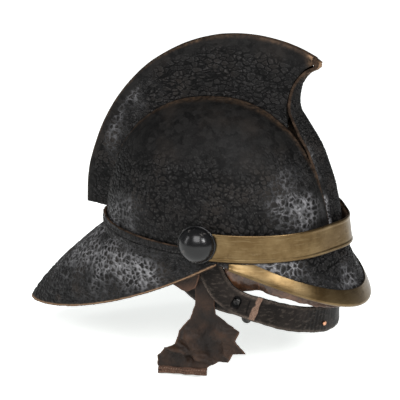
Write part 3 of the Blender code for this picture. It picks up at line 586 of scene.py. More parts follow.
def front_line(count):
    """The comb's front outline down its middle: beak, hollow throat, then brow to the foot."""
    share = (COMB_TIP_X - COMB_CENTRE_X) / COMB_HALF_LENGTH
    top = COMB_CENTRE_Z + COMB_RISE * math.sqrt(1 - share**2)
    tip, brow, height = COMB_TIP_X, BROW_REACH, CROWN_HEIGHT
    points = [
        (tip + 0.0045, top - 0.0030),
        (tip + 0.0030, top - 0.0085),
        (tip - 0.0060, top - 0.0140),
        (tip - 0.0130, top - 0.0240),
        (tip - 0.0162, top - 0.0370),
        (tip - 0.0150, top - 0.0500),
        (tip - 0.0095, top - 0.0590),
        (tip - 0.0010, top - 0.0720),
        (brow - 0.0225, 0.672 * height),
        (brow - 0.0145, 0.531 * height),
        (brow - 0.0085, 0.400 * height),
        (brow - 0.0045, 0.269 * height),
        (brow - 0.0020, 0.138 * height),
        (brow - 0.0005, CROWN_FOOT),
    ]
    return smooth_curve(points, count)


def comb_half(share):
    """Half the comb's thickness from crest, share 0, to crown, share 1: a power of the share."""
    return COMB_CREST_HALF + (COMB_FOOT_HALF - COMB_CREST_HALF) * np.clip(share, 0, 1) ** COMB_FLARE


def facing_bulge(share):
    return BEAK_BULGE + (FACING_BULGE - BEAK_BULGE) * np.clip(share, 0, 1)


def seam_line(count, front_height):
    """Where a leaf of the comb ends, just inside the crown, from heel to front, as x and z."""
    p, h, b = CROWN_POWER, CROWN_HEIGHT - COMB_TUCK, CROWN_HALF_WIDTH - COMB_TUCK
    room = (1 - (COMB_FOOT_HALF / b) ** p) ** (1 / p)
    low, end = heel_height() / h / room, front_height / h / room
    turn = np.linspace(math.pi - math.asin(low ** (p / 2)), math.asin(end ** (p / 2)), count)
    t = room * np.sin(turn) ** (2 / p)
    c = room * signed_power(np.cos(turn), 2 / p)
    length = np.where(c > 0, CROWN_FRONT, CROWN_REAR) - COMB_TUCK
    return np.stack([CROWN_MIDDLE_X - CROWN_LEAN * t + length * c, h * t], axis=1)


def leaf_grid(along, down):
    """One leaf of the comb as a Coons patch between its crest, heel, seam and front edge."""
    share = np.linspace(0, 1, down)
    line = front_line(400)
    back = unit(np.gradient(line, axis=0))[:, ::-1] * np.array([1.0, -1.0])
    front = even_steps(line + (FACING_WALL + 2 * GAP) * back, down, 0.0, FACING_SEAM_SHARE)
    front[:, 0] -= facing_bulge(share)
    top = crest(along, 0.0, float(front[0, 0]))
    foot = seam_line(along, float(front[-1, 1]))
    front = front + share[:, None] ** 6 * (foot[-1] - front[-1])
    front = front + (1 - share)[:, None] ** 6 * (top[-1] - front[0])
    heel = top[0] + (foot[0] - top[0]) * share[:, None]
    u, v = np.linspace(0, 1, along)[:, None, None], share[None, :, None]
    ruled = (1 - v) * top[:, None] + v * foot[:, None]
    crossed = (1 - u) * heel[None] + u * front[None]
    corners = (1 - u) * ((1 - v) * top[0] + v * foot[0]) + u * ((1 - v) * top[-1] + v * foot[-1])
    return ruled + crossed - corners, share


def brim_curve(top, rim, leave, arrive, steps):
    """An upright flange down to the knee, then a cubic Bezier curve out to the rim."""
    knee = top * FLAT + BRIM_KNEE * UP
    length = np.linalg.norm(rim - knee, axis=1, keepdims=True)
    out = unit((rim - knee) * FLAT)
    first = knee + length * (leave[0] * out + leave[1] * UP)
    second = rim + length * (arrive[0] * out + arrive[1] * UP)
    t = np.linspace(0, 1, steps)[None, 1:, None]
    flare = (1 - t) ** 3 * knee[:, None] + 3 * t * (1 - t) ** 2 * first[:, None]
    flare = flare + 3 * t**2 * (1 - t) * second[:, None] + t**3 * rim[:, None]
    s = np.linspace(0, 1, max(steps // 8, 3))[None, :, None]
    flange = (1 - s) * top[:, None] + s * knee[:, None]
    return np.concatenate([flange, flare], axis=1)


def guard_surface(count, steps):
    """The neck guard's outer face: its rim is a superellipse of power 1.75 that drops as
    1.571 u - 0.571 u^2 towards the rear."""
    start = side_angle(JOINT_X - JOINT_GAP / 2)
    turn = np.linspace(start, 2 * math.pi - start, count)
    back = np.clip(-np.cos(turn), 0, 1)
    flange = FLANGE_TOP_SIDE + (FLANGE_TOP_REAR - FLANGE_TOP_SIDE) * back**1.5
    top = upright_ring(turn, flange, GAP + GUARD_WALL)
    top[:, 0] -= CROWN_LEAN * flange / CROWN_HEIGHT * back
    angle = np.linspace(-1, 1, count) * math.pi / 2
    edge = JOINT_X - JOINT_GAP / 2
    reach = edge - GUARD_TIP_X
    x = edge - reach * np.abs(np.cos(angle)) ** (2 / GUARD_POWER)
    y = GUARD_HALF_WIDTH * signed_power(np.sin(angle), 2 / GUARD_POWER)
    share = (edge - x) / reach
    rim = np.stack([x, y, -GUARD_DROP * (1.571 * share - 0.571 * share**2)], axis=1)
    return brim_curve(top, rim, (0.10, -0.07), (-0.144, 0.27), steps)


def peak_surface(count, steps):
    """The front peak's outer face: its rim is an ellipse that drops as cos^1.25 to the front."""
    start = side_angle(JOINT_X + JOINT_GAP / 2)
    top = brow_ring(np.linspace(start, -start, count), PEAK_TOP, GAP + PEAK_WALL)
    angle = np.linspace(-1, 1, count) * math.pi / 2
    edge = JOINT_X + JOINT_GAP / 2
    x, y = edge + (PEAK_TIP_X - edge) * np.cos(angle), PEAK_HALF_WIDTH * np.sin(angle)
    rim = np.stack([x, y, -PEAK_DROP * np.cos(angle) ** 1.25], axis=1)
    return brim_curve(top, rim, (0.10, -0.30), (-0.10, 0.26), steps)


def brim_inside(grid, wall):
    return grid - wall * outward_normals(grid, (CROWN_MIDDLE_X, 0, 0))


# Crackled leather


def thin_rows(grid, count):
    """Fewer points along a grid's second direction."""
    keep = np.round(np.linspace(0, grid.shape[1] - 1, count)).astype(int)
    return grid[:, keep]


def crackled(grid, normal, size, sheen_and_wear, relief, opened=1.0, stretch=(1.0, 1.0, 1.0), seed=0):
    """Crackled paint on a grid: plates whose tops stand up by relief from the cracks between them,
    on leather with shallow dents. The cracks are wider where the painted sheen and the wear are
    strong, and closed where opened is 0. Returns the moved grid and the marks that the finish
    reads, among them rim, a band along the plates' edges that gets a painted highlight."""
    place = grid * np.array(stretch)
    edge, chance = plates(place, size, seed)
    fine = plates(place, size * 0.45, seed + 9)[0]
    width = np.maximum(0.15 + 0.10 * sheen_and_wear + 0.10 * noise(grid, 3 * size, seed + 4), 0.05)
    gap = (1 - ramp(edge, 0.45 * width, width + 0.06)) * opened
    # rim: a band just outside each crack, where the finish paints a highlight on the plates' edges.
    rim = np.exp(-(((edge - width - 0.09) / 0.06) ** 2)) * opened
    hair = (1 - ramp(fine, 0.03, 0.16)) * ramp(noise(grid, 0.012, seed + 2), -0.3, 0.6)
    dent = 0.0007 * fractal(grid, 0.045, 2, seed + 3) + 0.00022 * noise(grid, 0.010, seed + 8)
    top = (1 - gap) * (0.75 + 0.5 * chance * opened)
    moved = grid + normal * (dent + relief * (top - 0.8) - 0.3 * relief * hair * opened)[..., None]
    return moved, {"gap": gap, "rim": rim, "hair": hair * opened, "sheen_and_wear": sheen_and_wear, "plate": chance}


def wall_marks(marks, mask, rows):
    """Marks of an outer face carried round a wall's sections: 0 where the mask is 0."""
    made = {}
    for name, values in marks.items():
        full = np.zeros(mask.shape)
        full[:, :rows] = values
        made[name] = full
    made["back"] = 1 - mask
    return made


def leather_piece(name, outer, inner, marks, material, *nodes):
    """A closed wall of crackled leather between an outer grid and a coarser inner one."""
    sections, mask = wall_sections(outer, inner)
    obj = sweep(name, sections, marks=wall_marks(marks, mask, outer.shape[1]))
    return finish_piece(obj, material, "helmet", "black_crackled_leather", *nodes)


def crown_sheen_and_wear(grid):
    """Where the crown's crack network gets a painted sheen and wider, glossier cracks, partly wear:
    both brows and low behind.
    """
    brow = blob(grid, (0.082, 0.045, 0.055), (0.030, 0.050, 0.030))
    rear = blob(grid, (-0.090, 0.050, 0.015), (0.045, 0.060, 0.030))
    flank = 0.55 * blob(grid, (-0.070, 0.060, 0.055), (0.040, 0.050, 0.035))
    patchy = 0.65 + 0.5 * noise(grid, 0.022, 11)
    return np.clip((1.00 * brow + 0.55 * rear + 0.40 * flank) * patchy, 0, 1)


# Where the comb's crack network gets a painted sheen and wider cracks, partly wear.
def comb_sheen_and_wear(grid):
    rear = blob(grid, (-0.115, 0.010, 0.100), (0.030, 0.080, 0.060))
    low = 0.9 * blob(grid, (-0.085, 0.012, 0.135), (0.028, 0.080, 0.020))
    front = 0.8 * blob(grid, (0.085, 0.012, 0.110), (0.012, 0.080, 0.035))
    return np.clip(
        (0.42 * rear + 0.52 * low + 0.5 * front) * (0.7 + 0.7 * noise(grid, 0.020, 13)), 0, 1
    )


# Where the neck guard's crack network gets a painted sheen and wider cracks, partly wear, with a
# little everywhere.
def guard_sheen_and_wear(grid):
    ridge = blob(grid, (-0.145, 0.000, -0.022), (0.050, 0.032, 0.035))
    middle = blob(grid, (-0.072, 0.088, -0.018), (0.024, 0.035, 0.015))
    flank = 0.35 * blob(grid, (-0.115, 0.060, -0.020), (0.040, 0.040, 0.025))
    patchy = 0.75 + 0.6 * noise(grid, 0.016, 15)
    return np.clip(0.22 + (0.9 * ridge + 0.65 * middle + flank) * patchy, 0, 1)


# Where the peak's crack network gets a painted sheen and wider cracks, partly wear.
def peak_sheen_and_wear(grid):
    side = blob(grid, (0.060, 0.085, -0.012), (0.045, 0.030, 0.020))
    front = 0.5 * blob(grid, (0.130, 0.020, -0.030), (0.020, 0.050, 0.025))
    return np.clip((1.2 * side + front) * (0.75 + 0.5 * noise(grid, 0.018, 17)), 0, 1)


def crackled_leather():
    """Black paint in plates, brown where it is rubbed through to the hide. The cracks are painted
    near-black as painted shade, and pale grey as a painted sheen where the sheen-and-wear mark is
    high; the plates' rims get a painted highlight and the fine cracks painted glints.
    """
    f = Finish("black_crackled_leather")
    gap, hair, sheen_and_wear, plate = f.mark("gap"), f.mark("hair"), f.mark("sheen_and_wear"), f.mark("plate")
    back, hide, seam, rim = f.mark("back"), f.mark("hide"), f.mark("seam"), f.mark("rim")
    broad = f.noise(28.0, 4.0)
    grain = f.noise(800.0, 4.0, 0.65)
    tops = f.mix(plate.between(0.0, 1.0), (0.0028, 0.0027, 0.0027), (0.0085, 0.0081, 0.0079))
    tops = f.mix(broad.between(0.45, 0.75) * 0.8, tops, (0.0150, 0.0122, 0.0104))
    tops = f.mix(grain.between(0.52, 0.72) * 0.55, tops, (0.018, 0.0170, 0.0163))
    # Painted highlight along the plates' rims, stronger where the painted sheen is.
    tops = f.mix(
        rim * grain.between(0.44, 0.60) * (0.30 + 0.35 * sheen_and_wear), tops, (0.075, 0.072, 0.071)
    )
    # The cracks: near-black as painted shade, turning pale grey as a painted sheen where the
    # sheen-and-wear mark is high.
    painted_sheen = f.mix(
        f.noise(170.0, 3.0).between(0.35, 0.7), (0.040, 0.0395, 0.041), (0.165, 0.162, 0.169)
    )
    network = f.mix(sheen_and_wear.between(0.14, 0.60), (0.0012, 0.0012, 0.0012), painted_sheen)
    colour = f.mix(gap, tops, network)
    glints = hair * (0.12 + 0.55 * sheen_and_wear) * f.noise(220.0, 2.0).between(0.42, 0.60)
    colour = f.mix(glints, colour, (0.085, 0.083, 0.084))
    leather = f.mix(
        f.noise(260.0, 4.0).between(0.3, 0.75), (0.018, 0.011, 0.007), (0.120, 0.073, 0.042)
    )
    leather = f.mix(hide.between(0.62, 0.95) * 0.8, leather, (0.185, 0.115, 0.068))
    colour = f.mix(hide, colour, leather)
    colour = f.mix(seam, colour, (0.0020, 0.0018, 0.0018))
    inside = f.mix(
        f.noise(120.0, 4.0).between(0.35, 0.7), (0.012, 0.0075, 0.005), (0.045, 0.028, 0.018)
    )
    colour = f.mix(back, colour, inside)
    rough = 0.46 + 0.20 * (grain - 0.5) - 0.16 * (gap * sheen_and_wear) + 0.10 * broad + 0.25 * back
    relief = f.bump(0.55 * grain - 0.6 * hair, 0.60, 0.00018)
    coat = (gap * sheen_and_wear).between(0.10, 0.60, 0.0, 0.45)
    f.set(Coat_Weight=coat, Coat_Roughness=0.24, Specular_IOR_Level=0.065)
    return f.set(Base_Color=colour, Roughness=rough, Normal=relief)


def seam_mark(distance, width):
    return 1 - ramp(np.abs(distance), 0.4 * width, width)


def build_crown(sizes, material):
    for label, side in SIDES:
        grid = crown_panel(0, side, 380, 224)
        normal = outward_normals(grid, (0, 0, 0.02))
        sheen_and_wear = crown_sheen_and_wear(grid)
        low = 1 - ramp(grid[..., 2] + 0.010 * noise(grid, 0.025, 7), 0.070, 0.108)
        ahead = ramp(grid[..., 0], 0.088, 0.100)
        opened = np.clip(np.maximum(low, 1.2 * sheen_and_wear) * (1 - 0.8 * ahead) + 0.10, 0, 1)
        moved, marks = crackled(
            grid, normal, sizes.crown_plate, sheen_and_wear, sizes.relief, opened, (1.0, 1.0, 1.15), side + 2
        )
        top = np.linspace(0, 1, grid.shape[1])[None]
        marks["hide"] = ramp(top, 0.90, 0.985) * 0.35 + 0 * sheen_and_wear
        marks["seam"] = ramp(top, 0.988, 0.996) + 0 * sheen_and_wear
        marks["sheen_and_wear"] = marks["sheen_and_wear"] * (1 - ramp(top, 0.75, 0.95))
        inner = crown_panel(CROWN_WALL, side, 380, 14)
        leather_piece(f"helmet_crown_{label}", moved, inner, marks, material, f"crown_{label}")


def comb_shape(along, down, side, inset=0.0):
    flat, share = leaf_grid(along, down)
    half = comb_half(share) - inset
    roll = 0.0012 * np.exp(-share / 0.035)
    x, z = flat[..., 0], flat[..., 1]
    return np.stack([x, side * (half - roll) + 0 * x, z], axis=-1), share


def build_comb(sizes, material):
    for label, side in SIDES:
        grid, share = comb_shape(430, 190, side)
        normal = grid_normals(grid)
        normal = normal * np.sign(side * normal[..., 1].mean())
        sheen_and_wear = comb_sheen_and_wear(grid) * ramp(share, 0.10, 0.35)
        smooth = ramp(share + 0.08 * noise(grid, 0.02, 3), 0.10, 0.34)
        flat = (0.72, 1.0, 1.2)
        moved, marks = crackled(
            grid, normal, sizes.comb_plate, sheen_and_wear, sizes.relief, smooth, flat, side + 5
        )
        ahead = ramp(grid[..., 0] - 0.25 * (0.182 - grid[..., 2]), 0.074, 0.087)
        crest_edge = (1 - ramp(share, 0.0, 0.05))[None] * (0.40 + 0.35 * noise(grid, 0.012, 4))
        marks["hide"] = np.clip(0.8 * crest_edge + ahead * (1 - 0.7 * smooth), 0, 1)
        inner, _ = comb_shape(430, 16, side, COMB_WALL)
        leather_piece(f"helmet_comb_{label}", moved, inner, marks, material, f"comb_{label}")


def build_welt(material):
    """The welt between the leaves: a strip whose proud edge is rounded and slightly uneven."""
    path = crest(500, -0.0008, COMB_TIP_X - 0.006)
    inner = crest(500, 0.008, COMB_TIP_X - 0.006)
    down = unit(inner - path)
    turn = np.linspace(0, math.pi, 9)
    rise = 0.00012 * noise(np.pad(path, ((0, 0), (0, 1))), 0.004, 3)
    out = np.concatenate([0.0012 * np.sin(turn) - 0.0012, [-0.006, -0.006]])
    across = np.concatenate([0.0012 * np.cos(turn), [-0.0012, 0.0012]])
    reach = out[None, :, None] + rise[:, None, None]
    centre = path[:, None] - reach * down[:, None]
    sections = np.stack(
        [centre[..., 0], np.broadcast_to(across, centre.shape[:2]), centre[..., 1]], axis=-1
    )
    marks = {"hide": np.full(sections.shape[:2], 0.55)}
    obj = sweep("helmet_comb_welt", sections, marks=marks)
    finish_piece(obj, material, "helmet", "black_crackled_leather", "comb_welt")


def build_facing(sizes, material):
    """The rounded facing: across each station of the front line, middle - bulge (y / half)^2."""
    count = 420
    line = front_line(count)
    share = np.linspace(0, 1, count)
    half, bulge = comb_half(share / FACING_SEAM_SHARE), facing_bulge(share / FACING_SEAM_SHARE)
    tangent = unit(np.gradient(line, axis=0))

    def face(across, depth):
        deep = depth * (1 + 1.2 * (1 - ramp(share, 0.0, 0.04)))[:, None]
        x = line[:, None, 0] - bulge[:, None] * across[None] ** 2 + deep * tangent[:, None, 1]
        y = half[:, None] * across[None]
        lift = 0.55 * deep * (1 - ramp(share, 0.0, 0.03))[:, None]
        z = line[:, None, 1] - deep * tangent[:, None, 0] + lift + 0 * y
        return np.stack([x, y, z], axis=-1)

    across = np.linspace(-1, 1, 90)
    grid = face(across, 0.0)
    normal = outward_normals(grid, (0.0, 0, 0.06))
    low = ramp(share, 0.35, 0.6)[:, None]
    edge = ramp(np.abs(across), 0.72, 0.97)[None]
    sheen_and_wear = np.clip(low * edge * 0.5 + 0.12 * low, 0, 1) * (0.7 + 0.5 * noise(grid, 0.012, 6))
    moved, marks = crackled(
        grid, normal, sizes.comb_plate * 0.65, sheen_and_wear, sizes.relief * 0.6, seed=31
    )
    beak = (1 - ramp(share, 0.02, 0.16))[:, None] + 0 * across[None]
    marks["hide"] = np.clip(beak + 0.25 * noise(grid, 0.010, 8) * beak, 0, 1)
    inner = face(np.linspace(-1, 1, 12), FACING_WALL)
    leather_piece("helmet_comb_facing", moved, inner, marks, material, "comb_front_facing")


def build_guard(sizes, material):
    """The neck guard, with a beaded double line round its flange and a raw rim."""
    grid = guard_surface(500, 140)
    normal = outward_normals(grid, (CROWN_MIDDLE_X, 0, 0))
    down = np.cumsum(np.linalg.norm(np.diff(grid, axis=1, prepend=grid[:, :1]), axis=-1), axis=1)
    around = np.cumsum(np.linalg.norm(np.diff(grid[:, 0], axis=0, prepend=grid[:1, 0]), axis=-1))
    sheen_and_wear = guard_sheen_and_wear(grid)
    moved, marks = crackled(grid, normal, sizes.guard_plate, sheen_and_wear, sizes.relief, seed=41)
    bead = 0.5 + 0.5 * np.cos(around[:, None] * 2 * math.pi / 0.0032)
    beads = (seam_mark(down - 0.0050, 0.0011) + seam_mark(down - 0.0082, 0.0011)) * bead
    groove = seam_mark(down - 0.0066, 0.0007)
    moved = moved + normal * (0.0009 * beads - 0.0007 * groove)[..., None]
    left = down[:, -1:] - down
    marks["hide"] = np.clip(1 - ramp(left, 0.0010, 0.0030) + 0.45 * ramp(
        noise(grid, 0.014, 5), 0.35, 0.8
    )
                            * ramp(-grid[..., 0], 0.12, 0.19), 0, 1)
    marks["seam"] = np.clip(groove, 0, 1)
    marks["gap"] = marks["gap"] * (1 - np.clip(beads, 0, 1))
    # The beads take the rim mark too, so they get a painted highlight along their ridges.
    marks["rim"] = np.maximum(marks["rim"], 1.5 * np.clip(beads, 0, 1))
    inner = thin_rows(brim_inside(guard_surface(500, 140), GUARD_WALL), 14)
    leather_piece("helmet_neck_guard", moved, inner, marks, material, "neck_guard")


def build_peak(sizes, material):
    grid = peak_surface(470, 140)
    normal = outward_normals(grid, (CROWN_MIDDLE_X, 0, 0))
    sheen_and_wear = peak_sheen_and_wear(grid)
    moved, marks = crackled(grid, normal, sizes.peak_plate, sheen_and_wear, 1.25 * sizes.relief, seed=53)
    inner = thin_rows(brim_inside(peak_surface(470, 140), PEAK_WALL), 14)
    leather_piece("helmet_peak", moved, inner, marks, material, "front_peak")


# Brass


def aged_brass():
    """Satin brass: warm where rubbed, brown in its patina, with fine scratches and small dents."""
    f = Finish("aged_brass")
    broad = f.noise(34.0, 4.0, 0.6)
    fine = f.noise(330.0, 4.0, 0.6)
    scratch = f.noise(70.0, 3.0, 0.6, 0.4, f.stretch((1.0, 1.0, 9.0)))
    metal = f.mix(broad.between(0.38, 0.66), (0.088, 0.056, 0.024), (0.140, 0.096, 0.046))
    metal = f.mix(scratch.between(0.52, 0.74) * 0.35, metal, (0.22, 0.165, 0.092))
    stain = fine.between(0.52, 0.70) * broad.between(0.60, 0.42, 0.0, 1.0)
    metal = f.mix(stain * 0.35, metal, (0.080, 0.050, 0.024))
    # Painted shade: darker along the edges marked edge, where the band meets the leather and where
    # the binding runs under the band.
    edge = f.mark("edge")
    metal = f.mix(edge * 0.6, metal, (0.085, 0.056, 0.028))
    rough = 0.31 + 0.10 * fine + 0.20 * stain + 0.12 * (broad - 0.5)
    relief = f.bump(scratch * 0.4 + fine * 0.35, 0.25, 0.0002)
    return f.set(Base_Color=metal, Roughness=rough, Metallic=1.0, Normal=relief)


def build_band(material):
    """The brow band: a strip standing off the peak's flange, its edges rolled, its face dented."""
    start = side_angle(BOSS_X - 0.011)
    turn = np.linspace(start, -start, 640)[:, None]
    stand = 2 * GAP + max(PEAK_WALL, GUARD_WALL)

    def strip(rows, out):
        return brow_ring(turn, np.linspace(BAND_BOTTOM, BAND_TOP, rows)[None], out)

    grid = strip(46, stand + BAND_WALL)
    normal = outward_normals(grid, (CROWN_MIDDLE_X, 0, BOSS_Z))
    share = np.linspace(0, 1, 46)[None]
    bead = 0.00045 * (seam_mark(share - 0.06, 0.07) + seam_mark(share - 0.94, 0.07))
    crease = blob(grid, (0.078, 0.058, 0.017), (0.010, 0.030, 0.012))
    ripple = 0.0007 * fractal(grid, 0.030, 2, 61) * np.sin(np.pi * share)
    moved = grid + normal * (bead + ripple - 0.0007 * crease)[..., None]
    # edge marks the band's top and bottom edges, which the finish paints darker as shade.
    edge = np.clip(seam_mark(share, 0.05) + seam_mark(share - 1, 0.05), 0, 1) + 0 * crease
    sections, mask = wall_sections(moved, strip(8, stand))
    marks = wall_marks({"edge": edge}, mask, 46)
    obj = sweep("helmet_front_band", sections, marks=marks)
    finish_piece(obj, material, "helmet", "aged_brass", "front_band")


def back_from_rim(dense, distance, steps):
    """Points on each station's curve from a distance above its rim down to the rim."""
    rows = []
    for curve, reach in zip(dense, distance):
        length = np.sum(np.linalg.norm(np.diff(curve, axis=0), axis=1))
        rows.append(even_steps(curve, steps, max(1 - reach / length, 0.0), 1.0))
    return np.stack(rows)


def build_binding(material):
    """The channel folded over the peak's rim: outer leg, round fold and shorter inner leg."""
    outer = peak_surface(420, 81)
    inner = brim_inside(outer, PEAK_WALL)
    outer, inner = outer[12:-12], inner[12:-12]
    push = unit(outer[:, -1] - inner[:, -1])[:, None]
    down = unit(outer[:, -1] - outer[:, -3])[:, None]
    steps = np.linalg.norm(np.diff(outer, axis=1), axis=-1)
    free = np.sum(steps * (outer[:, 1:, 2] < BAND_BOTTOM - 2 * GAP), axis=1)
    leg = np.clip(free - 0.001, 0.0012, BINDING_LEG)
    out_leg = back_from_rim(outer, leg, 26)
    in_leg = back_from_rim(inner, np.minimum(leg, BINDING_INNER_LEG), 10)
    near, far = GAP, GAP + BINDING_WALL
    wave = (0.0004 * fractal(out_leg, 0.024, 2, 71) * np.linspace(1, 0, 26)[None])[..., None]
    outside = out_leg + (far + wave) * push
    half = (out_leg[:, -1:] - in_leg[:, -1:]) / 2
    centre = out_leg[:, -1:] - half
    bend = np.linspace(0, math.pi, 9)[None, 1:-1, None]
    fold = centre + (half + far * push) * np.cos(bend) + (far + 0.0012) * down * np.sin(bend)
    lining = centre + (half + near * push) * np.cos(bend) + (near + 0.0012) * down * np.sin(bend)
    loop = [outside, fold, (in_leg - far * push)[:, ::-1], in_leg - near * push, lining[:, ::-1]]
    loop.append((out_leg + near * push)[:, ::-1])
    sections = np.concatenate(loop, axis=1)
    # edge marks the outer leg's top edge, just under the band, which the finish paints darker as
    # shade.
    edge = np.zeros(sections.shape[:2])
    edge[:, :2] = 1
    obj = sweep("helmet_peak_binding", sections, marks={"edge": edge})
    finish_piece(obj, material, "helmet", "aged_brass", "peak_binding")


# Bosses and bolts


def black_lacquer():
    f = Finish("black_lacquer")
    dust = f.noise(700.0, 3.0, 0.6).between(0.55, 0.75)
    chip = f.noise(110.0, 4.0, 0.65).between(0.64, 0.68)
    colour = f.mix(dust * 0.10, (0.0035, 0.0035, 0.0038), (0.022, 0.0215, 0.021))
    colour = f.mix(chip * 0.8, colour, (0.055, 0.050, 0.046))
    rough = 0.24 + 0.05 * dust + 0.25 * chip
    relief = f.bump(f.noise(140.0, 3.0), 0.20, 0.0003)
    return f.set(
        Base_Color=colour, Roughness=rough, Normal=relief, Coat_Weight=0.06, Specular_IOR_Level=0.25
    )


def build_bosses(material):
    """Domes r = R cos a, height = H sin a on a flanged plate whose lip is rolled."""
    for label, side in SIDES:
        seat = BOSS_FACE + PLATE_WALL
        lip = [
            (0.0, BOSS_FACE),
            (PLATE_RADIUS - 0.0010, BOSS_FACE),
            (PLATE_RADIUS - 0.0002, BOSS_FACE + 0.0003),
            (PLATE_RADIUS, BOSS_FACE + 0.0009),
            (PLATE_RADIUS - 0.0004, seat + 0.0002),
            (PLATE_RADIUS - 0.0013, seat + 0.0003),
            (PLATE_RADIUS - 0.0020, seat),
            (0.0, seat),
        ]
        plate = turned(f"helmet_boss_plate_{label}", lip, (BOSS_X, BOSS_Z), side, 120, 0.00010)
        finish_piece(plate, material, "helmet", "black_lacquer", f"boss_plate_{label}")
        a = np.linspace(math.pi / 2, 0, 40)
        base = seat + GAP
        dome = np.stack([BOSS_RADIUS * np.cos(a), base + BOSS_HEIGHT * np.sin(a) ** 1.04], axis=1)
        dome[0, 0] = 0.0
        dome = [*map(tuple, dome), (BOSS_RADIUS - 0.0012, base), (0.0, base)]
        cap = turned(f"helmet_boss_dome_{label}", dome, (BOSS_X, BOSS_Z), side, 120, 0.00016)
        finish_piece(cap, material, "helmet", "black_lacquer", f"boss_dome_{label}")


def plain_metal(name, dark, light, rough, metallic=1.0):
    """A dull metal between two tones, with fine pitting."""
    f = Finish(name)
    tone = f.noise(240.0, 4.0, 0.6)
    colour = f.mix(tone.between(0.35, 0.68), dark, light)
    relief = f.bump(f.noise(900.0, 3.0), 0.4, 0.00012)
    return f.set(
        Base_Color=colour, Roughness=rough + 0.2 * (tone - 0.5), Metallic=metallic, Normal=relief
    )


# Lining


def lining_leather(name, dark, light, rough, shine=0.2, thread=(0.17, 0.115, 0.085)):
    """Thin leather: blotched and creased, with painted shade along its creases and a painted
    highlight on the ridges of its folds, pale where torn, with thread in its seams.
    """
    f = Finish(name)
    raw, stitch, fold = f.mark("raw"), f.mark("stitch"), f.mark("fold")
    broad = f.noise(45.0, 5.0, 0.6)
    fibre = f.noise(240.0, 4.0, 0.7, 0.6, f.stretch((1.0, 1.0, 0.35)))
    creases = f.cells(190.0).between(0.0, 0.12, 1.0, 0.0)
    colour = f.mix(broad.between(0.35, 0.68), dark, light)
    # Painted shade: darker along the crease lines.
    colour = f.mix(creases * 0.25, colour, tuple(0.35 * c for c in dark))
    # Painted highlight: lighter along the ridges of the folds, where the fold mark is high.
    colour = f.mix(fold * 0.55, colour, tuple(min(1.9 * c, 1.0) for c in light))
    colour = f.mix(raw * fibre.between(0.30, 0.60, 0.45, 1.0), colour, (0.085, 0.043, 0.027))
    colour = f.mix(stitch, colour, thread)
    height = 0.8 * fibre + 0.5 * broad - 0.25 * creases
    relief = f.bump(height, 0.8, 0.0005)
    roughness = rough + 0.25 * (fibre - 0.5) + 0.30 * raw + 0.20 * stitch
    return f.set(Base_Color=colour, Roughness=roughness, Normal=relief, Specular_IOR_Level=shine)


def stitches(along, across, pitch, width):
    """Thread marks along a line: 1 on each stitch, 0 in the gap after it."""
    dash = ramp(np.cos(along * 2 * math.pi / pitch), -0.35, 0.25)
    return dash * seam_mark(across, width)


def build_headband(material):
    """The sweatband: a creased ring inside the crown's foot, stitched to a corded lower edge."""
    turn = np.linspace(0, 2 * math.pi, 520, endpoint=False)[:, None]
    heights = np.linspace(HEADBAND_BOTTOM, HEADBAND_TOP, 40)[None]
    outer = crown_ring(turn, heights, -HEADBAND_INSET)
    inner = crown_ring(turn, heights, -HEADBAND_INSET - HEADBAND_WALL)
    normal = outward_normals(inner, (CROWN_MIDDLE_X, 0, 0.014))
    along = np.cumsum(np.linalg.norm(np.diff(inner, axis=0, prepend=inner[:1]), axis=-1), axis=0)
    sewn = stitches(along, heights - HEADBAND_BOTTOM - 0.0035, 0.0034, 0.0009)
    crease = 0.0005 * fractal(inner * np.array([1, 1, 0.3]), 0.012, 3, 91)
    inner = inner + normal * (np.minimum(crease, 0.0005) - 0.0003 * sewn)[..., None]
    sections, mask = wall_sections(inner, outer[:, ::4])
    obj = sweep("helmet_headband", sections, True, wall_marks({"stitch": sewn}, mask, 40))
    finish_piece(obj, material, "helmet", "brown_lining_leather", "headband")

    turn = np.linspace(0, 2 * math.pi, 900, endpoint=False)
    middle = crown_ring(turn, 0.0, -HEADBAND_INSET - HEADBAND_WALL / 2)
    middle[:, 2] = HEADBAND_BOTTOM - GAP - 0.0016
    outward = unit(middle * FLAT)
    sections = cord_sections(middle, outward, 0.0016, 0.05, 210)
    cord = sweep("helmet_headband_piping", sections, True)
    finish_piece(cord, material, "helmet", "brown_lining_leather", "headband_piping")


def cord_sections(path, outward, radius, depth, twists):
    """A round cord of three strands: radius (1 + depth cos 3(a - twist)) at angle a round it."""
    a = np.linspace(0, 2 * math.pi, 18, endpoint=False)[None]
    twist = np.linspace(0, 2 * math.pi * twists / 3, len(path), endpoint=False)[:, None]
    reach = radius * (1 - depth + depth * np.cos(3 * (a - twist)))[..., None]
    return path[:, None] + reach * (
        np.cos(a)[..., None] * outward[:, None] + np.sin(a)[..., None] * UP
    )


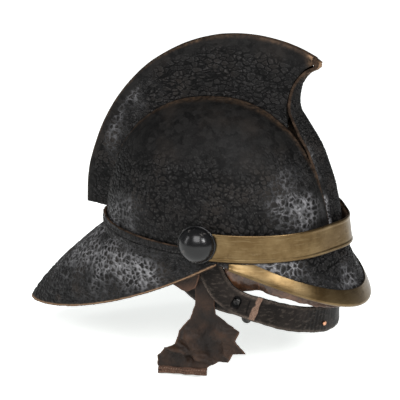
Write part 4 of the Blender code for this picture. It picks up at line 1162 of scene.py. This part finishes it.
def build_tongues(material, lace):
    """Tongues up the crown's inside, each narrowing to the lace that gathers their tips."""
    for index in range(TONGUES):
        middle = 2 * math.pi * (index + 0.5) / TONGUES
        share = np.linspace(0, 1, 90)[:, None]
        z = HEADBAND_TOP + GAP + (TONGUE_TOP - HEADBAND_TOP - GAP) * share
        half = math.pi / TONGUES * (0.93 - 0.25 * share - 0.05 * np.sin(3.1 * share))
        faces = []
        for inset, columns in ((HEADBAND_INSET + TONGUE_WALL, 70), (HEADBAND_INSET, 12)):
            size, centre = crown_taper(z, inset)
            turn = middle + np.linspace(-1, 1, columns)[None] * half
            c, s = (signed_power(g(turn), 2 / CROWN_POWER) for g in (np.cos, np.sin))
            length = np.where(c > 0, CROWN_FRONT, CROWN_REAR) - inset
            x, y = centre + length * size * c, -(CROWN_HALF_WIDTH - inset) * size * s
            faces.append(np.stack([x, y, z + 0 * x], axis=-1))
        normal = outward_normals(faces[0], (0, 0, 0))
        crease = np.clip(0.0007 * fractal(faces[0], 0.014, 3, 95 + index), -0.0010, 0.0006)
        raw = np.broadcast_to(ramp(np.abs(np.linspace(-1, 1, 70)), 0.93, 1.0)[None], crease.shape)
        grid = faces[0] + normal * crease[..., None]
        sections, mask = wall_sections(grid, faces[1])
        obj = sweep(
            f"helmet_tongue_{index + 1}", sections, marks=wall_marks({"raw": raw}, mask, 70)
        )
        finish_piece(obj, material, "helmet", "brown_lining_leather", f"liner_tongue_{index + 1}")

    turn = np.linspace(0, 2 * math.pi, 600, endpoint=False)
    size, middle = crown_taper(TONGUE_TOP, HEADBAND_INSET)
    reach = 0.92 * size * np.array(
        [CROWN_REAR - HEADBAND_INSET, CROWN_HALF_WIDTH - HEADBAND_INSET, 0]
    )
    outward = np.stack([np.cos(turn), np.sin(turn), 0 * turn], axis=1)
    path = outward * reach + np.array([float(middle), 0, TONGUE_TOP + GAP + 0.0012])
    cord = sweep("helmet_liner_lace", cord_sections(path, outward, 0.0012, 0.12, 150), True)
    finish_piece(cord, lace, "helmet", "waxed_lace", "liner_lace")


def build_peak_lining(material):
    """Wrinkled leather from the brow to just under the peak's rim, its lower edge torn."""
    count = 440
    rim = peak_surface(count, 9)[:, -1]
    start = side_angle(JOINT_X + JOINT_GAP / 2)
    head = brow_ring(np.linspace(start, -start, count), 0.0, -0.0125)
    share = np.abs(np.linspace(-1, 1, count))
    inward = unit((np.array([JOINT_X, 0.0, 0.0]) - rim) * FLAT)
    ear = ramp(share, 0.74, 0.93)
    below = LINING_DROP_MIDDLE + LINING_DROP_SIDE * share**1.5 + LINING_DROP_EAR * ear
    pull = LINING_PULL * np.clip(share * 3 - 1.4, 0, 1)
    foot = rim + (PEAK_LINING_GAP + PEAK_WALL + pull)[:, None] * inward - below[:, None] * UP
    torn = 0.0012 * noise(foot, 0.009, 6) + 0.0007 * noise(foot, 0.0035, 7)
    foot = foot + torn[:, None] * UP
    head, foot, inward = head[4:-4], foot[4:-4], inward[4:-4]
    v = np.linspace(0, 1, 90)[None, :, None]
    grid = (1 - v) * head[:, None] + v * foot[:, None] - 0.004 * np.sin(np.pi * v) * inward[:, None]
    fold = fractal(grid * np.array([1.0, 1.0, 0.45]), 0.011, 4, 33)
    ridge = 1 - np.abs(fold)
    face = grid - (0.0011 * (ridge - 0.5))[..., None] * inward[:, None]
    raw = np.broadcast_to(ramp(v[..., 0], 0.965, 1.0), face.shape[:2])
    back = thin_rows(grid, 10) + 0.0020 * inward[:, None]
    sections, mask = wall_sections(face, back)
    # fold marks the ridges of the creases, which the finish paints lighter as a highlight.
    marks = wall_marks({"raw": raw, "fold": ramp(ridge, 0.80, 1.0) * 0.6}, mask, 90)
    obj = sweep("helmet_peak_lining", sections, marks=marks)
    finish_piece(obj, material, "helmet", "brown_lining_leather", "peak_lining")


def fold_of_flap(x, z):
    """How far the hanging leather's folds stand out: waves that grow below the straps, a ridge."""
    place = np.stack([x, 0 * x, z], axis=-1)
    free = ramp(-z, 0.052, 0.078) * (1 - 0.75 * ramp(-z, 0.106, 0.117))
    waves = 0.0024 * np.sin((x + 0.5 * z) * 2 * math.pi / 0.031 + 2.4 * noise(place, 0.028, 81))
    creases = 0.0018 * (1 - 2 * np.abs(noise(place, 0.013, 82))) + 0.0010 * noise(place, 0.006, 84)
    creases = creases + 0.0004 * (1 - 2 * np.abs(noise(place, 0.0035, 85)))
    off = z + 0.0969 + 0.31 * (x + 0.0322)
    ridge = 0.0034 * np.exp(-((off / 0.0032) ** 2)) - 0.0022 * np.exp(
        -(((off + 0.007) / 0.004) ** 2)
    )
    return free * (waves + creases + ridge) + 0.0005 * noise(place, 0.008, 83)


def flap_outline(side, count):
    """The flap's left or right edge from its neck inside the shell to its foot, torn by noise."""
    left = [
        (-0.008, -0.006), (-0.009, -0.030), (-0.009, -0.049), (-0.015, -0.065), (-0.026, -0.079),
        (-0.030, -0.093), (-0.040, -0.097), (-0.049, -0.109), (-0.048, -0.1185),
    ]
    right = [
        (0.008, -0.006), (0.009, -0.040), (0.011, -0.057), (0.023, -0.066), (0.035, -0.073),
        (0.031, -0.083), (0.041, -0.0950), (0.029, -0.0955), (0.025, -0.105), (0.013, -0.107),
        (0.002, -0.1150),
    ]
    line = even_steps(np.array(left if side < 0 else right), count)
    place = np.stack([line[:, 0], 0 * line[:, 0], line[:, 1]], axis=1)
    line[:, 0] += 0.0007 * noise(place, 0.004, 21) * ramp(np.linspace(0, 1, count), 0.0, 0.2)
    return line


def ruled(left, right, columns):
    t = np.linspace(0, 1, columns)[None, :, None]
    return (1 - t) * left[:, None] + t * right[:, None]


def upright_sheet(name, flat, offset, wall, material, marks):
    """A thin sheet whose x and z are flat and whose y is offset: rows run down it."""
    face = np.stack([flat[..., 0], offset - wall / 2, flat[..., 1]], axis=-1)
    rear = np.stack([flat[..., 0], offset + wall / 2, flat[..., 1]], axis=-1)
    keep = np.round(np.linspace(0, flat.shape[1] - 1, flat.shape[1] // 3)).astype(int)
    sections, mask = wall_sections(face, rear[:, keep])
    return sweep(name, sections, marks=wall_marks(marks, mask, flat.shape[1]))


def grid_area(flat):
    """Area of a grid of x and z points, by half the cross product of each cell's diagonals."""
    one, two = flat[1:, 1:] - flat[:-1, :-1], flat[1:, :-1] - flat[:-1, 1:]
    return float(np.abs(one[..., 0] * two[..., 1] - one[..., 1] * two[..., 0]).sum() / 2)


def build_torn_lining(material):
    """The torn flap, which hangs from inside the shell, and the hem at its foot."""
    flat = ruled(flap_outline(-1, 240), flap_outline(1, 240), 140)
    fold = fold_of_flap(flat[..., 0], flat[..., 1])
    across = np.abs(np.linspace(-1, 1, 140))[None]
    raw = ramp(across, 0.955, 1.0) + 0 * fold
    # fold marks where the flap's folds stand out most, which the finish paints lighter as a
    # highlight.
    marks = {"raw": raw, "fold": ramp(fold, 0.0018, 0.0042)}
    flap = upright_sheet("torn_lining_flap", flat, RIGHT * (TORN_Y + fold), 0.0012, material, marks)
    flap.data.materials.append(material)
    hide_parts("torn_lining")

    share = np.linspace(0, 1, 320)[:, None]
    level = np.linspace(0, 1, 40)[None]
    x = -0.0478 + 0.0500 * share + 0 * level
    z = -0.1190 + 0.0034 * share**0.8 - 0.0070 * level + 0.00035 * noise(
        np.stack([x, 0 * x, 0 * x + level], axis=-1), 0.009, 5
    )
    bulge = 0.0012 * np.sin(np.pi * level) ** 0.5 + 0.0005 * fractal(
        np.stack([x, 0 * x, z], axis=-1), 0.008, 2, 8
    )
    sewn = stitches(x, level * 0.0070 - 0.0016, 0.0026, 0.0007)
    sewn = sewn + stitches(x + 0.0010, level * 0.0070 - 0.0046, 0.0026, 0.0007)
    offset = RIGHT * (TORN_Y + fold_of_flap(x, z) + bulge - 0.0006 * seam_mark(sewn - 1, 0.9))
    hem = upright_sheet(
        "torn_lining_foot", np.stack([x, z], axis=-1), offset, 0.0020, material,
        {"stitch": 0.75 * np.clip(sewn, 0, 1), "raw": 0.55 + 0.35 * level + 0 * x},
    )
    hem.data.materials.append(material)
    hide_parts("torn_lining_hem")
    for piece in (flap, hem):
        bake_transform(piece)
    area = grid_area(flat)


def build_guard_scrap(material):
    """The remnant of suede that is left under the neck guard's right side."""
    left = even_steps(
        np.array([(-0.034, -0.007), (-0.036, -0.020), (-0.029, -0.029), (-0.018, -0.034)]), 90
    )
    right = even_steps(
        np.array([(-0.004, -0.004), (-0.003, -0.018), (-0.007, -0.029), (-0.016, -0.0345)]), 90
    )
    flat = ruled(left, right, 90)
    place = np.stack([flat[..., 0], 0 * flat[..., 0], flat[..., 1]], axis=-1)
    flat[..., 1] += 0.0012 * noise(place, 0.006, 3) * np.linspace(0, 1, 90)[:, None]
    y = RIGHT * (SHORT_STRAP_Y + STRAP_WALL / 2 + 2 * GAP + 0.0009)
    fold = np.clip(0.0005 * fractal(place, 0.010, 3, 9), -0.0004, 0.0007)
    across = np.abs(np.linspace(-1, 1, 90))[None]
    raw = np.clip(ramp(across, 0.90, 1.0) + 0.5 * ramp(place[..., 2], -0.020, -0.034), 0, 1)
    marks = {"raw": raw + 0 * fold}
    obj = upright_sheet("helmet_guard_scrap", flat, y - fold, 0.0013, material, marks)
    finish_piece(obj, material, "helmet", "torn_brown_suede", "guard_lining")
    grid_area(flat)


# Chin strap


def strap_leather():
    """Old strap leather: grey-brown, grained lengthwise, painted near-black as shade in its slots
    and grooves, pale where torn.
    """
    f = Finish("grey_brown_strap")
    raw, shaded_hole, rub = f.mark("raw"), f.mark("shaded_hole"), f.mark("rub")
    broad = f.noise(38.0, 4.0)
    streak = f.noise(420.0, 4.0, 0.65, 0.2, f.stretch((0.45, 0.45, 1.0), (0.0, 0.6, 0.0)))
    grain = f.noise(1100.0, 3.0, 0.6)
    colour = f.mix(broad.between(0.35, 0.66), (0.0042, 0.0032, 0.0026), (0.0110, 0.0084, 0.0070))
    colour = f.mix(streak.between(0.50, 0.70) * 0.6, colour, (0.046, 0.037, 0.031))
    colour = f.mix(streak.between(0.46, 0.30) * 0.6, colour, (0.007, 0.0055, 0.005))
    colour = f.mix(rub * grain.between(0.35, 0.58) * 0.8, colour, (0.130, 0.100, 0.080))
    colour = f.mix(
        raw, colour, f.mix(grain.between(0.3, 0.7), (0.070, 0.041, 0.029), (0.165, 0.105, 0.076))
    )
    # Painted shade: near-black in the slot round the stud and in the groove by the torn end.
    colour = f.mix(shaded_hole, colour, (0.0020, 0.0017, 0.0016))
    rough = 0.50 + 0.25 * (grain - 0.5) + 0.15 * raw + 0.10 * shaded_hole
    relief = f.bump(0.8 * streak + 0.5 * grain, 0.7, 0.0003)
    return f.set(Base_Color=colour, Roughness=rough, Normal=relief, Specular_IOR_Level=0.07)


def strap_wall(name, path, normal, material, shape, nodes, columns=44):
    """A strap along a path. shape(along, across) gives its outer face's rise and its marks."""
    tangent = unit(np.gradient(path, axis=0))
    normal = unit(normal - np.sum(normal * tangent, axis=1, keepdims=True) * tangent)
    across = np.cross(tangent, normal)
    along = np.concatenate([[0], np.cumsum(np.linalg.norm(np.diff(path, axis=0), axis=1))])[:, None]
    along, wide = np.broadcast_arrays(along, STRAP_WIDTH / 2 * np.linspace(-1, 1, columns)[None])
    rise, fray, marks = shape(along, wide, path)
    edge = 1 - 0.03 * noise(np.stack([along, np.sign(wide), 0 * wide], axis=-1), 0.006, 2)
    spread = (wide * edge)[..., None] * across[:, None]
    outer = path[:, None] + spread + (STRAP_WALL / 2 + rise)[..., None] * normal[:, None]
    outer = outer + fray[..., None] * tangent[:, None]
    keep = np.round(np.linspace(0, columns - 1, 12)).astype(int)
    inner = path[:, None] + spread[:, keep] - STRAP_WALL / 2 * normal[:, None]
    inner = inner + fray[:, keep, None] * tangent[:, None]
    sections, mask = wall_sections(outer, inner)
    obj = sweep(name, sections, marks=wall_marks(marks, mask, columns))
    return finish_piece(obj, material, "chin_strap", "grey_brown_strap", *nodes)


def worn_rise(path, along, wide):
    place = np.stack([along, wide, 0 * wide], axis=-1)
    rounding = -0.0006 * ramp(np.abs(wide), 0.0100, STRAP_WIDTH / 2)
    return rounding + 0.0003 * fractal(place, 0.014, 3, 51), place


def build_short_straps(material):
    """The short straps from the bosses' bolts to the studs, each with a slot and a torn end."""
    line = [
        (BOSS_X, BOSS_Z + 0.011), (BOSS_X, BOSS_Z - 0.004), (0.0015, 0.001), (0.007, -0.010),
        (0.0125, -0.021), (0.0195, -0.031), (0.030, -0.0385), (0.042, -0.043), (0.0555, -0.0455),
    ]
    flat = smooth_curve(line, 360)
    lean = math.radians(62)

    def shape(along, wide, path):
        rise, place = worn_rise(path, along, wide)
        tangent = unit(np.gradient(path, axis=0))
        across = np.cross(tangent, np.array([0.0, side, 0.0]))
        turned_up = np.sign(across[-1, 2])
        point = path[:, None] + wide[..., None] * across[:, None]
        dx, dz = point[..., 0] - STUD_X, point[..., 2] - STUD_Z
        u = dx * math.cos(lean) + dz * math.sin(lean)
        v = dz * math.cos(lean) - dx * math.sin(lean)
        reach = np.hypot(np.maximum(np.abs(u) - 0.0028, 0), v) - 0.0045
        # The slot round the stud: sunk into the strap and painted near-black as shade.
        shaded_hole = 1 - ramp(reach, -0.0007, 0.0002)
        lip = np.exp(-(((reach - 0.0012) / 0.0009) ** 2))
        left = along[-1:, :1] - along
        arc = left - 0.0105 + 9.0 * (wide - 0.002) ** 2
        groove = seam_mark(arc, 0.0009) * (1 - ramp(np.abs(wide), 0.007, 0.009))
        raw = 1 - ramp(
            left + 0.0008 * noise(place, 0.004, 3) + 0.14 * (wide * turned_up - 0.004),
            0.0040,
            0.0052,
        )
        fray = (0.0008 * noise(place, 0.0035, 4) + 0.16 * wide * turned_up) * (
            1 - ramp(left, 0.0, 0.014)
        )
        rise = rise - 0.0020 * shaded_hole + 0.0004 * lip - 0.0005 * groove - 0.0005 * raw
        rub = np.clip(
            ramp(np.abs(wide), 0.0085, 0.0120) * (0.6 + 0.5 * noise(place, 0.006, 6)), 0, 1
        )
        return rise, fray, {"shaded_hole": np.clip(shaded_hole + 0.8 * groove, 0, 1), "raw": raw, "rub": rub}

    for label, side in SIDES:
        path = np.stack([flat[:, 0], side * SHORT_STRAP_Y + 0 * flat[:, 0], flat[:, 1]], axis=1)
        normal = np.zeros_like(path) + np.array([0.0, side, 0.0])
        strap_wall(
            f"strap_short_{label}_leather", path, normal, material, shape, [f"strap_short_{label}"]
        )


def long_strap_path(count):
    near, band = LONG_STRAP_Y, CROWN_HALF_WIDTH - HEADBAND_INSET - HEADBAND_WALL
    points = [
        (-0.044, -band + 0.0175, -0.0185),
        (-0.030, -band + 0.0130, -0.0270),
        (-0.012, -band + 0.0073, -0.0370),
        (0.006, -band + 0.0028, -0.0415),
        (0.022, -near + 0.0015, -0.0415),
        (0.0335, -near, -0.0425),
        (0.046, -near, -0.0455),
        (0.061, -near * 0.965, -0.0495),
        (0.075, -near * 0.885, -0.0545),
        (0.088, -near * 0.745, -0.0600),
        (0.101, -near * 0.500, -0.0665),
        (0.109, -near * 0.245, -0.0715),
        (0.112, 0.0, -0.0730),
    ]
    points += [(x, -y, z) for x, y, z in reversed(points[5:-1])] + [(0.024, near - 0.0005, -0.0415)]
    return smooth_curve(points, count)


def build_long_strap(material):
    """The long strap: from its tail inside the right, round under the peak, to the left stud."""

    def shape(along, wide, path):
        rise, place = worn_rise(path, along, wide)
        rub = np.clip(
            ramp(np.abs(wide), 0.0090, 0.0121) * (0.55 + 0.5 * noise(place, 0.007, 7)), 0, 1
        )
        bend = 0.00010 * np.cos(along * 2 * math.pi / 0.0052) * blob_along(along, 0.172, 0.022)
        fray = 0.0008 * noise(place, 0.004, 4) * (1 - ramp(along, 0.0, 0.004))
        raw = (1 - ramp(along, 0.0020, 0.0045)) + 0 * wide
        return rise + bend, fray, {"rub": rub, "raw": raw}

    path = long_strap_path(900)
    normal = np.cross(unit(np.gradient(path, axis=0)), UP)
    strap_wall("strap_long_leather", path, normal, material, shape, ["strap_long"])


def blob_along(along, centre, reach):
    return np.exp(-(((along - centre) / reach) ** 2))


def build_studs(iron):
    """Studs and knobs turned from rounded profiles."""
    outer, inner = LONG_STRAP_Y + STRAP_WALL / 2 + GAP, LONG_STRAP_Y - STRAP_WALL / 2 - 3 * GAP
    arc = np.linspace(math.pi / 2, 0, 14)
    for label, side in SIDES:
        dome = [(0.0039 * math.cos(t), outer + 0.0006 + 0.0019 * math.sin(t)) for t in arc]
        dome[0] = (0.0, outer + 0.0025)
        profile = [
            *dome, (0.0030, outer), (0.0017, outer), (0.0017, inner), (0.0043, inner - 0.0002),
            (0.0044, inner - 0.0010), (0.0038, inner - 0.0018), (0.0, inner - 0.0018),
        ]
        stud = turned(f"strap_stud_{label}_iron", profile, (STUD_X, STUD_Z), side, 64, 0.00008)
        finish_piece(stud, iron, "chin_strap", "dark_iron", f"strap_stud_{label}")
    band = CROWN_HALF_WIDTH - HEADBAND_INSET - HEADBAND_WALL
    knobs = (
        (
            "tail",
            (-0.0125, -0.0465),
            band - 0.0073 - STRAP_WALL / 2 - 0.0020,
            0.0060,
            0.0050,
            "strap_stud_tail",
        ),
        ("knob", (0.0420, -0.0580), inner + GAP, 0.0050, 0.0060, "strap_knob"),
    )
    for name, centre, face, radius, depth, node in knobs:
        profile = [(0.0, face), (radius - 0.0003, face), (radius, face - 0.0004)]
        rim = face - 0.0012
        profile += [
            (radius * math.cos(t), rim - (depth - 0.0012) * math.sin(t)) for t in arc[::-1]
        ]
        profile[-1] = (0.0, face - depth)
        knob = turned(f"strap_{name}_iron", profile, centre, RIGHT, 64, 0.00012)
        finish_piece(knob, iron, "chin_strap", "dark_iron", node)


# Stage


def build_stage(sizes):
    """A pale floor under the lining's foot, a large soft light above, one each side, a camera."""
    scene = bpy.context.scene
    floor_level = min(float(CAD_LOW[2]) - FLOOR_BELOW_PART, FLOOR_LEVEL)
    bpy.ops.mesh.primitive_plane_add(size=FLOOR_SIZE, location=(0, 0, floor_level))
    floor = bpy.context.object
    floor.name = "stage_floor"
    pale = bpy.data.materials.new("stage_pale")
    pale.use_nodes = True
    shader = pale.node_tree.nodes["Principled BSDF"]
    shader.inputs["Base Color"].default_value = (0.92, 0.925, 0.915, 1)
    shader.inputs["Emission Color"].default_value = (0.97, 1.0, 0.98, 1)
    shader.inputs["Emission Strength"].default_value = FLOOR_GLOW
    shader.inputs["Roughness"].default_value = 0.9
    shader.inputs["Specular IOR Level"].default_value = 0.1
    floor.data.materials.append(pale)

    world = bpy.data.worlds.new("stage_world")
    world.use_nodes = True
    background = world.node_tree.nodes["Background"]
    background.inputs["Color"].default_value = (0.97, 0.98, 1.0, 1)
    background.inputs["Strength"].default_value = WORLD_GLOW
    scene.world = world
    for name, place, size, power in LAMPS:
        data = bpy.data.lights.new(f"stage_light_{name}", "AREA")
        data.shape, data.size, data.size_y = "RECTANGLE", size[0], size[1]
        data.energy = power * sizes.light
        lamp = bpy.data.objects.new(f"stage_light_{name}", data)
        lamp.location = place
        aim = Vector(LAMP_AIM) - Vector(place)
        lamp.rotation_euler = aim.to_track_quat("-Z", "Y").to_euler()
        scene.collection.objects.link(lamp)
    scene.view_settings.view_transform = "Standard"

    turn, rise = CAMERA_TURN, CAMERA_RISE
    right = Vector((math.cos(turn), math.sin(turn), 0))
    ahead = Vector((-math.sin(turn), math.cos(turn), 0))
    up = ahead * math.sin(rise) + Vector(UP) * math.cos(rise)
    towards = -ahead * math.cos(rise) + Vector(UP) * math.sin(rise)
    target = CAMERA_RIGHT * right + CAMERA_UP * up
    data = bpy.data.cameras.new("stage_camera")
    data.sensor_width, data.lens = 36.0, CAMERA_LENS
    camera = bpy.data.objects.new("stage_camera", data)
    camera.location = target + CAMERA_DISTANCE * towards
    camera.rotation_euler = (-towards).to_track_quat("-Z", "Y").to_euler()
    scene.collection.objects.link(camera)
    scene.camera = camera


# Add-on


class HelmetSizes(bpy.types.PropertyGroup):
    """What a user may change."""

    crown_plate: FloatProperty(
        name="Crown plates",
        description="Size of the paint's plates on the crown",
        default=0.0056,
        unit="LENGTH",
    )
    comb_plate: FloatProperty(
        name="Comb plates",
        description="Size of the paint's plates on the comb",
        default=0.0052,
        unit="LENGTH",
    )
    guard_plate: FloatProperty(
        name="Neck guard plates",
        description="Size of the paint's plates on the neck guard",
        default=0.0050,
        unit="LENGTH",
    )
    peak_plate: FloatProperty(
        name="Peak plates",
        description="Size of the paint's plates on the peak",
        default=0.0058,
        unit="LENGTH",
    )
    relief: FloatProperty(
        name="Relief",
        description="Height of a plate above its cracks",
        default=0.00075,
        unit="LENGTH",
    )
    light: FloatProperty(
        name="Light",
        description="Share of the studio lamps' full power",
        default=1.0,
        subtype="FACTOR",
    )
    lining_dark: FloatVectorProperty(
        name="Lining",
        description="Darkest tone of the lining leather",
        subtype="COLOR",
        default=(0.026, 0.0115, 0.006),
    )


class HELMET_OT_shell(bpy.types.Operator):
    """Builds the crown, the comb and the brims in crackled leather"""

    bl_idname = "helmet.shell"
    bl_label = "Leather shell"

    def execute(self, context):
        sizes, leather = context.scene.helmet_sizes, crackled_leather()
        build_crown(sizes, leather)
        build_comb(sizes, leather)
        build_welt(leather)
        build_facing(sizes, leather)
        build_guard(sizes, leather)
        build_peak(sizes, leather)
        return {"FINISHED"}


class HELMET_OT_brass(bpy.types.Operator):
    """Builds the brow band and the peak's binding"""

    bl_idname = "helmet.brass"
    bl_label = "Brass band and binding"

    def execute(self, context):
        brass = aged_brass()
        build_band(brass)
        build_binding(brass)
        for label, _ in SIDES:
            give_material(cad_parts[f"boss_washer_{label}"], brass)
        return {"FINISHED"}


class HELMET_OT_bosses(bpy.types.Operator):
    """Builds the side bosses and finishes their bolts and nuts"""

    bl_idname = "helmet.bosses"
    bl_label = "Bosses"

    def execute(self, context):
        build_bosses(black_lacquer())
        iron = plain_metal("bolt_iron", (0.045, 0.040, 0.036), (0.17, 0.155, 0.14), 0.5)
        for label, _ in SIDES:
            for part in ("bolt", "nut"):
                give_material(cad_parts[f"boss_{part}_{label}"], iron)
        return {"FINISHED"}


class HELMET_OT_lining(bpy.types.Operator):
    """Builds the sweatband, the crown's tongues and lace, and the peak's lining"""

    bl_idname = "helmet.lining"
    bl_label = "Lining"

    def execute(self, context):
        dark = tuple(context.scene.helmet_sizes.lining_dark)
        leather = lining_leather("brown_lining_leather", dark, (0.105, 0.044, 0.019), 0.33, 0.5)
        lace = lining_leather("waxed_lace", (0.15, 0.115, 0.075), (0.30, 0.24, 0.165), 0.7)
        build_headband(leather)
        build_tongues(leather, lace)
        build_peak_lining(leather)
        return {"FINISHED"}


class HELMET_OT_torn_lining(bpy.types.Operator):
    """Builds the torn flap, its hem and the scrap under the neck guard"""

    bl_idname = "helmet.torn_lining"
    bl_label = "Torn lining"

    def execute(self, context):
        suede = lining_leather(
            "torn_brown_suede", (0.0052, 0.0025, 0.0013), (0.0190, 0.0088, 0.0044), 0.60
        )
        build_torn_lining(suede)
        build_guard_scrap(suede)
        return {"FINISHED"}


class HELMET_OT_straps(bpy.types.Operator):
    """Builds the chin strap's leather, studs, knob and rivet"""

    bl_idname = "helmet.straps"
    bl_label = "Chin strap"

    def execute(self, context):
        leather = strap_leather()
        build_short_straps(leather)
        build_long_strap(leather)
        build_studs(plain_metal("dark_iron", (0.010, 0.010, 0.010), (0.055, 0.052, 0.050), 0.34))
        copper = plain_metal("copper", (0.30, 0.13, 0.07), (0.62, 0.33, 0.20), 0.35)
        give_material(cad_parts["strap_rivet"], copper)
        return {"FINISHED"}


class HELMET_OT_stage(bpy.types.Operator):
    """Builds the floor, the lights and the camera"""

    bl_idname = "helmet.stage"
    bl_label = "Stage"

    def execute(self, context):
        build_stage(context.scene.helmet_sizes)
        return {"FINISHED"}


STEPS = (
    HELMET_OT_shell,
    HELMET_OT_brass,
    HELMET_OT_bosses,
    HELMET_OT_lining,
    HELMET_OT_torn_lining,
    HELMET_OT_straps,
    HELMET_OT_stage,
)


class HELMET_PT_panel(bpy.types.Panel):
    """Lists the helmet's sizes and building steps"""

    bl_label = "Comb fire helmet"
    bl_idname = "HELMET_PT_panel"
    bl_space_type = "VIEW_3D"
    bl_region_type = "UI"
    bl_category = "Helmet"

    def draw(self, context):
        for name in HelmetSizes.__annotations__:
            self.layout.prop(context.scene.helmet_sizes, name)
        for step in STEPS:
            self.layout.operator(step.bl_idname)


CLASSES = (HelmetSizes, *STEPS, HELMET_PT_panel)


def register():
    for cls in CLASSES:
        bpy.utils.register_class(cls)
    bpy.types.Scene.helmet_sizes = PointerProperty(type=HelmetSizes)


def unregister():
    del bpy.types.Scene.helmet_sizes
    for cls in reversed(CLASSES):
        bpy.utils.unregister_class(cls)


def main():
    register()
    for step in STEPS:
        group, name = step.bl_idname.split(".")
        getattr(getattr(bpy.ops, group), name)()


if __name__ == "__main__":
    main()
